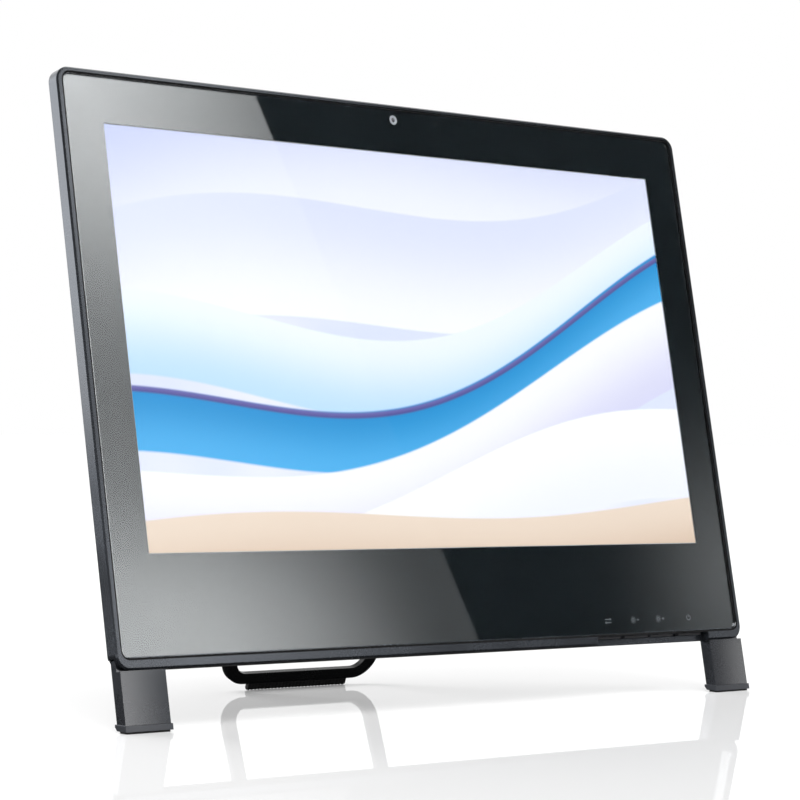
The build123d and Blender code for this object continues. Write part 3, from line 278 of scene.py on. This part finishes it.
def meshOf(name, build):
    shape = bmesh.new()
    build(shape)
    bmesh.ops.remove_doubles(shape, verts=shape.verts, dist=1e-7)
    bmesh.ops.recalc_face_normals(shape, faces=shape.faces)
    mesh = bpy.data.meshes.new(name)
    shape.to_mesh(mesh)
    shape.free()
    return mesh


def addTube(shape, rings, closed=False):
    # Skins a list of rings of points, with caps unless the ends meet.
    layers = [[shape.verts.new(point) for point in ring] for ring in rings]
    pairs = list(zip(layers, layers[1:])) + ([(layers[-1], layers[0])] if closed else [])
    for first, second in pairs:
        for i in range(len(first)):
            j = (i + 1) % len(first)
            shape.faces.new((first[i], first[j], second[j], second[i]))
    if not closed:
        shape.faces.new(layers[0])
        shape.faces.new(layers[-1])


# Control icons, printed behind the glass over the four buttons; their faint glow is painted light standing in
# for the lamp light that the glass keeps off them.
icons = {"places": (0.140, 0.1665, 0.1915, 0.220), "height": 0.0543, "front": 0.00201, "back": 0.00204,
         "line": 0.00034, "size": 0.0023}


def addStroke(shape, points, closed=False):
    # A flat line of even width through points, in x and height.
    half = icons["line"] / 2
    rings = []
    count = len(points)
    for i, (x, height) in enumerate(points):
        before = points[i - 1] if i or closed else points[i]
        after = points[(i + 1) % count] if i < count - 1 or closed else points[i]
        along = Vector((after[0] - before[0], after[1] - before[1])).normalized()
        side = Vector((-along.y, along.x)) * half
        rings.append([onPanel(x + s * side.x, height + s * side.y, depth)
                      for s, depth in ((1, icons["front"]), (-1, icons["front"]), (-1, icons["back"]),
                                       (1, icons["back"]))])
    addTube(shape, rings, closed)


def arcPoints(x, height, radius, start, end, steps):
    turns = [radians(start + (end - start) * i / steps) for i in range(steps + 1)]
    points = [(x + radius * sin(turn), height + radius * cos(turn)) for turn in turns]
    return points[:-1] if abs(end - start) == 360 else points


def buildIcons(shape):
    size, height = icons["size"], icons["height"]
    mode, dim, bright, power = icons["places"]
    for side in (-1, 1):
        level = height + side * size * 0.5
        addStroke(shape, [(mode - size * 1.3, level), (mode + size * 1.3, level)])
        tip = mode + side * size * 1.3
        addStroke(shape, [(tip - side * size * 0.6, level + size * 0.4), (tip, level),
                          (tip - side * size * 0.6, level - size * 0.4)])
    for place, plus in ((dim, False), (bright, True)):
        sun = place - size * 0.9
        addStroke(shape, arcPoints(sun, height, size * 0.45, 0, 360, 20), True)
        for ray in range(8):
            out = Vector((sin(ray * pi / 4), cos(ray * pi / 4)))
            addStroke(shape, [(sun + out.x * size * 0.8, height + out.y * size * 0.8),
                              (sun + out.x * size * 1.15, height + out.y * size * 1.15)])
        sign = place + size * 1.2
        addStroke(shape, [(sign - size * 0.5, height), (sign + size * 0.5, height)])
        if plus:
            addStroke(shape, [(sign, height - size * 0.5), (sign, height + size * 0.5)])
    addStroke(shape, arcPoints(power, height, size * 0.8, 35, 325, 22))
    addStroke(shape, [(power, height + size * 0.1), (power, height + size * 1.05)])


newPiece("control_icons", meshOf("control_icons", buildIcons), "panel", finish=printWithPaintedGlow)

# Camera: a domed coated element in its bright ring.
cameraLens = {"height": 0.4005, "radius": 0.0015, "rim": 0.00250, "crown": 0.00218, "steps": 32}


def buildLens(shape):
    profile = [(1.0, 0.0), (0.96, 0.35), (0.86, 0.60), (0.66, 0.82), (0.36, 0.96), (0.05, 1.0)]
    rings = [[(1.0, -0.25)] + profile][0]
    circles = []
    for share, lift in rings:
        depth = cameraLens["rim"] + (cameraLens["crown"] - cameraLens["rim"]) * lift
        radius = cameraLens["radius"] * share
        circles.append([onPanel(radius * sin(2 * pi * i / cameraLens["steps"]),
                                cameraLens["height"] + radius * cos(2 * pi * i / cameraLens["steps"]),
                                depth)
                        for i in range(cameraLens["steps"])])
    addTube(shape, circles)


lensMesh = meshOf("camera_glass", buildLens)
lensMesh.polygons.foreach_set("use_smooth", [True] * len(lensMesh.polygons))
newPiece("camera_glass", lensMesh, "panel", finish=lensCoating)
# Dark rubber seal in the groove between the glass and the frame.
seal = {"width": 0.5332, "low": 0.0449, "high": 0.4069, "groove": 0.00125, "corner": 0.005, "front": 0.0007,
        "back": 0.0020, "steps": 8}


def buildSeal(shape):
    middle = (seal["low"] + seal["high"]) / 2
    layers = []
    for grow, depth in ((0.00003, seal["back"]), (0.00003, seal["front"]), (seal["groove"], seal["front"]),
                        (seal["groove"], seal["back"])):
        halfX, halfY = seal["width"] / 2 + grow, (seal["high"] - seal["low"]) / 2 + grow
        radius = seal["corner"] + grow
        outline = []
        for quarter, (signX, signY) in enumerate(((1, 1), (-1, 1), (-1, -1), (1, -1))):
            for i in range(seal["steps"] + 1):
                turn = (quarter + i / seal["steps"]) * pi / 2
                outline.append(onPanel(signX * (halfX - radius) + radius * cos(turn),
                                       middle + signY * (halfY - radius) + radius * sin(turn), depth))
        layers.append(outline)
    addTube(shape, [list(ring) for ring in zip(*layers)], True)


newPiece("glass_seal", meshOf("glass_seal", buildSeal), "panel", finish=slotFinish["rubber"])
print("icons, camera glass and seal made")


def newTree(name, floats=(), whole=()):
    tree = bpy.data.node_groups.new(name, "GeometryNodeTree")
    for label in whole:
        tree.interface.new_socket(name=label, in_out="INPUT", socket_type="NodeSocketInt")
    for label in floats:
        tree.interface.new_socket(name=label, in_out="INPUT", socket_type="NodeSocketFloat")
    tree.interface.new_socket(name="Finish", in_out="INPUT", socket_type="NodeSocketMaterial")
    tree.interface.new_socket(name="Geometry", in_out="OUTPUT", socket_type="NodeSocketGeometry")
    return tree


def addNode(tree, kind, inputs=None, **settings):
    node = tree.nodes.new(kind)
    for setting, value in settings.items():
        setattr(node, setting, value)
    for key, value in (inputs or {}).items():
        if isinstance(value, bpy.types.NodeSocket):
            tree.links.new(value, node.inputs[key])
        else:
            node.inputs[key].default_value = value
    return node


def closeTree(tree, given, parts):
    joined = tree.nodes.new("GeometryNodeJoinGeometry")
    for part in parts:
        tree.links.new(part, joined.inputs[0])
    real = addNode(tree, "GeometryNodeRealizeInstances", {0: joined.outputs[0]})
    painted = addNode(tree, "GeometryNodeSetMaterial",
                      {"Geometry": real.outputs[0], "Material": given["Finish"]})
    addNode(tree, "NodeGroupOutput", {0: painted.outputs[0]})
    return tree


def treeMesh(name, tree, settings):
    # Runs a tree on an empty object and returns the plain mesh it makes.
    holder = bpy.data.objects.new(name + "_maker", bpy.data.meshes.new(name + "_maker"))
    bpy.context.scene.collection.objects.link(holder)
    modifier = holder.modifiers.new("maker", "NODES")
    modifier.node_group = tree
    for socket in tree.interface.items_tree:
        if socket.in_out == "INPUT":
            modifier[socket.identifier] = settings[socket.name]
    bpy.context.view_layer.update()
    evaluated = holder.evaluated_get(bpy.context.evaluated_depsgraph_get())
    mesh = bpy.data.meshes.new_from_object(evaluated)
    mesh.name = name
    holder.modifiers.clear()
    bpy.data.objects.remove(holder)
    return mesh


def wireScreenTree():
    # Two layers of straight wires that cross, in the local XY plane.
    tree = newTree("wire_screen", ("Width", "Height", "Pitch", "Wire"))
    given = tree.nodes.new("NodeGroupInput").outputs

    def number(operation, first, second=0.0):
        return addNode(tree, "ShaderNodeMath", {0: first, 1: second}, operation=operation).outputs[0]

    radius = number("MULTIPLY", given["Wire"], 0.5)
    profile = addNode(tree, "GeometryNodeCurvePrimitiveCircle",
                      {"Resolution": 5, "Radius": radius}).outputs[0]
    layers = []
    for across, up, level in (("Width", "Height", -0.5), ("Height", "Width", 0.5)):
        halfLong = number("MULTIPLY", given[up], 0.5)
        lift = number("MULTIPLY", given["Wire"], level)
        start, end, step, first = (tree.nodes.new("ShaderNodeCombineXYZ") for _ in range(4))
        longAxis, shortAxis = ("Y", "X") if across == "Width" else ("X", "Y")
        tree.links.new(number("MULTIPLY", halfLong, -1.0), start.inputs[longAxis])
        tree.links.new(halfLong, end.inputs[longAxis])
        line = addNode(tree, "GeometryNodeCurvePrimitiveLine",
                       {"Start": start.outputs[0], "End": end.outputs[0]})
        wire = addNode(tree, "GeometryNodeCurveToMesh",
                       {"Curve": line.outputs[0], "Profile Curve": profile, "Fill Caps": True})
        tree.links.new(given["Pitch"], step.inputs[shortAxis])
        tree.links.new(number("MULTIPLY", given[across], -0.5), first.inputs[shortAxis])
        tree.links.new(lift, first.inputs["Z"])
        count = number("ADD", number("FLOOR", number("DIVIDE", given[across], given["Pitch"])), 1.0)
        row = addNode(tree, "GeometryNodeMeshLine",
                      {"Count": count, "Start Location": first.outputs[0], "Offset": step.outputs[0]})
        placed = addNode(tree, "GeometryNodeInstanceOnPoints",
                         {"Points": row.outputs[0], "Instance": wire.outputs[0]})
        layers.append(placed.outputs[0])
    return closeTree(tree, given, layers)


screenTree = wireScreenTree()
ventScreens = {
    "fan_vent_screen": {"spot": (0.0, 0.322), "size": (0.072, 0.054)},
    "left_vent_screen": {"spot": (-0.150, 0.3109), "size": (0.128, 0.032)},
    "right_vent_screen": {"spot": (0.150, 0.3109), "size": (0.128, 0.032)},
    "lower_vent_screen": {"spot": (-0.060, 0.1099), "size": (0.170, 0.028)},
}
screenLook = {"depth": 0.0471, "pitch": 0.0014, "wire": 0.0003}
for name, screen in ventScreens.items():
    mesh = treeMesh(name, screenTree, {"Width": screen["size"][0], "Height": screen["size"][1],
                                       "Pitch": screenLook["pitch"], "Wire": screenLook["wire"],
                                       "Finish": slotFinish["black_screw"]})
    newPiece(name, mesh, "panel", panelMatrix(*screen["spot"], screenLook["depth"]))
print("vent screens made")


def contactRowTree():
    # A row of bowed spring contacts along local X, each rising along Y and bowed in Z.
    tree = newTree("contact_row", ("Pitch", "Length", "Bow", "Width", "Thickness"), ("Count",))
    given = tree.nodes.new("NodeGroupInput").outputs

    def number(operation, first, second=0.0):
        return addNode(tree, "ShaderNodeMath", {0: first, 1: second}, operation=operation).outputs[0]

    middle = addNode(tree, "ShaderNodeCombineXYZ",
                     {"Y": number("MULTIPLY", given["Length"], 0.5), "Z": given["Bow"]})
    end = addNode(tree, "ShaderNodeCombineXYZ", {"Y": given["Length"]})
    spring = addNode(tree, "GeometryNodeCurveQuadraticBezier",
                     {"Resolution": 6, "Middle": middle.outputs[0], "End": end.outputs[0]})
    spring.inputs["Start"].default_value = (0, 0, 0)
    strip = addNode(tree, "GeometryNodeCurvePrimitiveQuadrilateral",
                    {"Width": given["Thickness"], "Height": given["Width"]})
    contact = addNode(tree, "GeometryNodeCurveToMesh",
                      {"Curve": spring.outputs[0], "Profile Curve": strip.outputs[0], "Fill Caps": True})
    whole = number("SUBTRACT", given["Count"], 1.0)
    startX = number("MULTIPLY", number("MULTIPLY", whole, given["Pitch"]), -0.5)
    first = addNode(tree, "ShaderNodeCombineXYZ", {"X": startX})
    step = addNode(tree, "ShaderNodeCombineXYZ", {"X": given["Pitch"]})
    row = addNode(tree, "GeometryNodeMeshLine",
                  {"Count": given["Count"], "Start Location": first.outputs[0], "Offset": step.outputs[0]})
    placed = addNode(tree, "GeometryNodeInstanceOnPoints",
                     {"Points": row.outputs[0], "Instance": contact.outputs[0]})
    return closeTree(tree, given, [placed.outputs[0]])


contactTree = contactRowTree()
boardBack = 0.0206
portMouth = 0.0964
contactRows = {
    # x, height of the mouth end, depth; then count, pitch, length, bow, width
    "network_contacts": [((0.168, portMouth + 0.001, boardBack + 0.0101),
                          (8, 0.00102, 0.008, 0.0022, 0.0004))],
    "usb_contacts": [((place, portMouth + 0.0017, boardBack + low + 0.00337),
                      (4, 0.0023, 0.0068, 0.00004, 0.001))
                     for place in (0.1325, 0.149) for low in (0.0013, 0.0092)],
    "video_contacts": [((0.1155, portMouth + 0.0015, boardBack + depth), (10, 0.0012, 0.0062, bow, 0.0005))
                       for depth, bow in ((0.00238, 0.00003), (0.00352, 0.00003))],
}
for name, rows in contactRows.items():
    made = bmesh.new()
    for spot, (count, pitch, length, bow, width) in rows:
        mesh = treeMesh(name, contactTree, {"Count": count, "Pitch": pitch, "Length": length, "Bow": bow,
                                            "Width": width, "Thickness": 0.00012, "Finish": goldContact})
        mesh.transform(panelMatrix(*spot))
        made.from_mesh(mesh)
    joined = bpy.data.meshes.new(name)
    made.to_mesh(joined)
    made.free()
    newPiece(name, joined, "panel", finish=goldContact)

# Coloured rings round the two sound jacks.
jackRings = {"inner": 0.0018, "outer": 0.0031, "low": 0.0959, "high": 0.0964, "steps": 32}


def ringBuilder(place):
    def build(shape):
        depth = boardBack + 0.0035
        corners = [("inner", "low"), ("outer", "low"), ("outer", "high"), ("inner", "high")]
        rings = []
        for i in range(jackRings["steps"]):
            turn = 2 * pi * i / jackRings["steps"]
            rings.append([onPanel(place + jackRings[reach] * sin(turn), jackRings[level],
                                  depth + jackRings[reach] * cos(turn)) for reach, level in corners])
        addTube(shape, rings, True)
    return build


for name, place, finish in (("line_out_ring", 0.1815, limeRing), ("microphone_ring", 0.1910, pinkRing)):
    newPiece(name, meshOf(name, ringBuilder(place)), "panel", finish=finish)
print("contacts and jack rings made")

# Stand rubber: the same strip with grip ribs moulded round its sole.
standRubber = {"half": 0.0435, "top": 0.0034, "ribs": 29, "radius": 0.002, "groove": 0.00035, "steps": 14,
               "lean": 20.0}
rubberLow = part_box("stand_rubber")[0]


def buildRubber(shape):
    back = radians(standRubber["lean"])
    centre = Vector((0, rubberLow.y + standRubber["radius"], rubberLow.z + standRubber["radius"]))
    across = Vector((0, cos(back), sin(back)))
    up = Vector((0, -sin(back), cos(back)))
    top = standRubber["top"]
    count = standRubber["ribs"] * 6
    rings = []
    for i in range(count + 1):
        wave = 0.5 - 0.5 * cos(2 * pi * standRubber["ribs"] * i / count)
        radius = standRubber["radius"] - standRubber["groove"] * (1 - wave)
        x = -standRubber["half"] + 2 * standRubber["half"] * i / count
        ring = [centre + Vector((x, 0, 0)) + across * (-radius * cos(pi * j / standRubber["steps"]))
                - up * (radius * sin(pi * j / standRubber["steps"])) for j in range(standRubber["steps"] + 1)]
        ring += [centre + Vector((x, 0, 0)) + across * (side * radius) + up * top for side in (1, -1)]
        rings.append(ring)
    addTube(shape, rings)


rubberStrip = newPiece("stand_rubber_ribbed", meshOf("stand_rubber_ribbed", buildRubber), "stand",
                       finish=slotFinish["rubber"])
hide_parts("stand_rubber")
print("stand rubber made")

# Floor: white where seen, with a soft mirror image of the machine, and dark in its polish.
floorLook = {"size": 30.0, "white": 0.80, "seenWhite": 1.15, "mirror": 0.44, "polish": 0.02, "near": 0.16,
             "far": 0.34, "inGloss": 0.03}


def stagePlane(name, corners, finish):
    mesh = bpy.data.meshes.new(name)
    mesh.from_pydata(corners, [], [(0, 1, 2, 3)])
    mesh.materials.append(finish)
    plane = bpy.data.objects.new(name, mesh)
    bpy.context.scene.collection.objects.link(plane)
    return plane


def floorFinish():
    recipe = Recipe("studio_floor")
    path = recipe.add("ShaderNodeLightPath")
    matte = recipe.add("ShaderNodeBsdfDiffuse", {"Color": (floorLook["white"],) * 3 + (1,)})
    mirror = recipe.add("ShaderNodeBsdfGlossy", {"Roughness": floorLook["polish"]})
    pale = recipe.add("ShaderNodeBsdfDiffuse", {"Color": (floorLook["seenWhite"],) * 3 + (1,)})
    seen = recipe.add("ShaderNodeMixShader",
                      {0: floorLook["mirror"], 1: pale.outputs[0], 2: mirror.outputs[0]})
    distance = recipe.add("ShaderNodeVectorMath", {0: recipe.place}, operation="LENGTH").outputs["Value"]
    lift = recipe.span(distance, 0.5, 2.2, floorLook["near"], floorLook["far"])
    glow = recipe.add("ShaderNodeEmission", {"Color": (1, 1, 1, 1), "Strength": lift})
    lit = recipe.add("ShaderNodeAddShader", {0: seen.outputs[0], 1: glow.outputs[0]})
    dull = recipe.add("ShaderNodeEmission", {"Color": (1, 1, 1, 1), "Strength": floorLook["inGloss"]})
    shown = recipe.add("ShaderNodeMixShader", {0: path.outputs["Is Camera Ray"], 1: matte.outputs[0],
                                               2: lit.outputs[0]})
    mirrored = recipe.sum("GREATER_THAN", path.outputs["Glossy Depth"], 0.5)
    return recipe.close(recipe.add("ShaderNodeMixShader",
                                   {0: mirrored, 1: shown.outputs[0], 2: dull.outputs[0]}))


reach = floorLook["size"]
stagePlane("floor", [(-reach, -reach, 0), (reach, -reach, 0), (reach, reach, 0), (-reach, reach, 0)],
           floorFinish())

# Reflector: a soft gradient panel that only shows as sheen in polished faces.
reflector = {
    "distance": 1.3346, "eyeX": 1.1999, "eyeHeight": 0.1015, "strength": 5.0,
    "left": 0.64, "right": 1.80, "bottom": 0.06, "top": 0.94,
    "edgeTop": (-0.1166, 0.4071), "edgeLean": 0.3743,
    # share of the way up the glass and level: the high glow and the low glow
    "highGlow": ((0.0, 0.0), (0.20, 0.04), (0.44, 0.15), (0.62, 0.255), (0.79, 0.50), (0.96, 0.68),
                 (1.0, 0.70)),
    "lowGlow": ((0.0, 0.50), (0.05, 0.49), (0.11, 0.44), (0.18, 0.31), (0.28, 0.155), (0.44, 0.03),
                (0.6, 0.0)),
    # x of the peak, half width and level of each foot's own sheen, which ends at the frame
    "footGlows": ((-0.275, 0.024, 0.9), (0.272, 0.020, 0.55)), "footTop": 0.038, "footEdge": 0.003,
    # heights that the shares run over, then distances in from the slanted edge and the levels there
    "glass": (0.045, 0.407), "highFade": (0.0, 0.140, 0.36, 1.0), "lowFade": (0.020, 0.250, 0.10, 1.0),
    "edgeBlur": (-0.0005, 0.0015),
    "corner": {"x": 0.275, "height": 0.085, "wide": 0.075, "tall": 0.085, "level": 0.10},
}


def reflectorFinish():
    recipe = Recipe("reflector_glow")
    atX = recipe.sum("MULTIPLY", recipe.along((1, 0, 0), -reflector["eyeX"]), 0.5)
    cardHeight = recipe.along(upPanel, panel["middle"] * panelLean - reflector["eyeHeight"])
    atHeight = recipe.sum("MULTIPLY", cardHeight, 0.5)
    edgeX, edgeHeight = reflector["edgeTop"]
    drop = recipe.sum("SUBTRACT", edgeHeight, atHeight)
    inward = recipe.sum("SUBTRACT", recipe.sum("MULTIPLY_ADD", drop, reflector["edgeLean"], edgeX), atX)
    share = recipe.span(atHeight, *reflector["glass"], kind="LINEAR")
    glows = []
    for levels in (reflector["highGlow"], reflector["lowGlow"]):
        ramp = recipe.add("ShaderNodeValToRGB", {0: share})
        ramp.color_ramp.interpolation = "B_SPLINE"
        stops = ramp.color_ramp.elements
        while len(stops) < len(levels):
            stops.new(0.5)
        for stop, (position, level) in zip(stops, levels):
            stop.position = position
            stop.color = (level, level, level, 1)
        glows.append(ramp.outputs[0])
    high = recipe.sum("MULTIPLY", glows[0], recipe.span(inward, *reflector["highFade"], "LINEAR"))
    low = recipe.sum("MULTIPLY", glows[1], recipe.span(inward, *reflector["lowFade"]))
    cut = recipe.span(inward, *reflector["edgeBlur"])
    main = recipe.sum("MULTIPLY", recipe.sum("ADD", high, low), cut)
    patch = reflector["corner"]
    sideways = recipe.sum("DIVIDE", recipe.sum("SUBTRACT", atX, patch["x"]), patch["wide"])
    upward = recipe.sum("DIVIDE", recipe.sum("SUBTRACT", atHeight, patch["height"]), patch["tall"])
    fromCorner = recipe.sum("ADD", recipe.sum("POWER", sideways, 2.0), recipe.sum("POWER", upward, 2.0))
    corner = recipe.sum("EXPONENT", recipe.sum("MULTIPLY", fromCorner, -1.0))
    corner = recipe.sum("MULTIPLY", corner, patch["level"])
    onGlass = recipe.span(atHeight, reflector["footTop"], reflector["footTop"] + reflector["footEdge"])
    level = recipe.sum("MULTIPLY", recipe.sum("ADD", main, corner), onGlass)
    for peak, halfWidth, amount in reflector["footGlows"]:
        away = recipe.sum("POWER", recipe.sum("DIVIDE", recipe.sum("SUBTRACT", atX, peak), halfWidth), 2.0)
        glow = recipe.sum("MULTIPLY", recipe.sum("EXPONENT", recipe.sum("MULTIPLY", away, -1.0)), amount)
        level = recipe.sum("ADD", level, recipe.sum("MULTIPLY", glow, recipe.sum("SUBTRACT", 1.0, onGlass)))
    level = recipe.sum("MULTIPLY", level, reflector["strength"])
    return recipe.close(recipe.add("ShaderNodeEmission", {"Color": (1, 1, 1, 1), "Strength": level}))


cardCorners = [onPanel(x, height, -reflector["distance"])
               for x,
               height in ((reflector["left"], reflector["bottom"]),
                          (reflector["right"], reflector["bottom"]),
                                 (reflector["right"], reflector["top"]),
                                 (reflector["left"], reflector["top"]))]
card = stagePlane("reflector", cardCorners, reflectorFinish())
card.visible_camera = card.visible_diffuse = card.visible_shadow = False

# Studio: even pale surround, dimmer overhead in polish, brighter towards the back.
surround = {"even": 0.50, "glossFront": 0.10, "glossBack": 1.0, "glossSide": 2.2, "horizon": 0.9}
studio = bpy.data.worlds.new("studio")
studio.use_nodes = True
bpy.context.scene.world = studio
air = Recipe("studio", studio.node_tree)
path = air.add("ShaderNodeLightPath").outputs
heading = air.add("ShaderNodeSeparateXYZ", {0: air.add("ShaderNodeTexCoord").outputs["Generated"]}).outputs
back = air.span(heading["Y"], 0.0, 0.45, surround["glossFront"], surround["glossBack"])
leftBack = air.sum("MULTIPLY", air.span(heading["Y"], 0.1, 0.5), air.span(heading["X"], -0.1, -0.5))
back = air.sum("ADD", back, air.sum("MULTIPLY", leftBack, surround["glossSide"] - surround["glossBack"]))
band = air.span(air.sum("ABSOLUTE", heading["Z"]), 0.20, 0.10, 0.0, surround["horizon"])
gloss = air.sum("MAXIMUM", back, band)
# Mirrored and scattered light keep their own levels, even after they leave through the glass.
mirrored = air.sum("GREATER_THAN", path["Glossy Depth"], 0.5)
scattered = air.sum("GREATER_THAN", path["Diffuse Depth"], 0.5)
level = air.add("ShaderNodeMix", {0: scattered, 2: 1.0, 3: surround["even"]}, data_type="FLOAT").outputs[0]
level = air.add("ShaderNodeMix", {0: mirrored, 2: level, 3: gloss}, data_type="FLOAT").outputs[0]
backdrop = air.add("ShaderNodeBackground", {"Color": (1, 1, 1, 1), "Strength": level})
air.add("ShaderNodeOutputWorld", {"Surface": backdrop.outputs[0]})

lamps = {
    "key": {"from": (-1.0, -1.5, 2.5), "size": 2.2, "power": 44.0},
    "fill": {"from": (2.0, -1.3, 1.2), "size": 1.4, "power": 12.0},
    "back": {"from": (-0.5, 2.0, 1.9), "size": 1.8, "power": 26.0},
}
for name, lamp in lamps.items():
    light = bpy.data.lights.new(name + "_lamp", "AREA")
    light.shape = "SQUARE"
    light.size = lamp["size"]
    light.energy = lamp["power"]
    lampObject = bpy.data.objects.new(name + "_lamp", light)
    bpy.context.scene.collection.objects.link(lampObject)
    lampObject.location = lamp["from"]
    lampObject.visible_glossy = False  # the surround gives the sheen, so no square shows in the floor
    lampObject.rotation_euler = (Vector((0, 0, 0.18)) - lampObject.location).to_track_quat("-Z",
                                                                                           "Y").to_euler()

cameraLook = {"at": (-1.1999, -1.4174, 0.1828), "forward": (0.6508, 0.7592, 0.0103),
              "up": (-0.0204, 0.0039, 0.9997),
              "lens": 123.4}
cameraData = bpy.data.cameras.new("camera")
cameraData.lens = cameraLook["lens"]
cameraData.sensor_width = 36.0
cameraData.clip_start, cameraData.clip_end = 0.05, 100.0
camera = bpy.data.objects.new("camera", cameraData)
bpy.context.scene.collection.objects.link(camera)
ahead = Vector(cameraLook["forward"]).normalized()
side = ahead.cross(Vector(cameraLook["up"])).normalized()
above = side.cross(ahead)
camera.matrix_world = Matrix.Translation(Vector(cameraLook["at"])) @ Matrix((side, above,
                                                                             -ahead)).transposed().to_4x4()
bpy.context.scene.camera = camera
bpy.context.scene.view_settings.view_transform = "Standard"
print("stage, lamps and camera set")
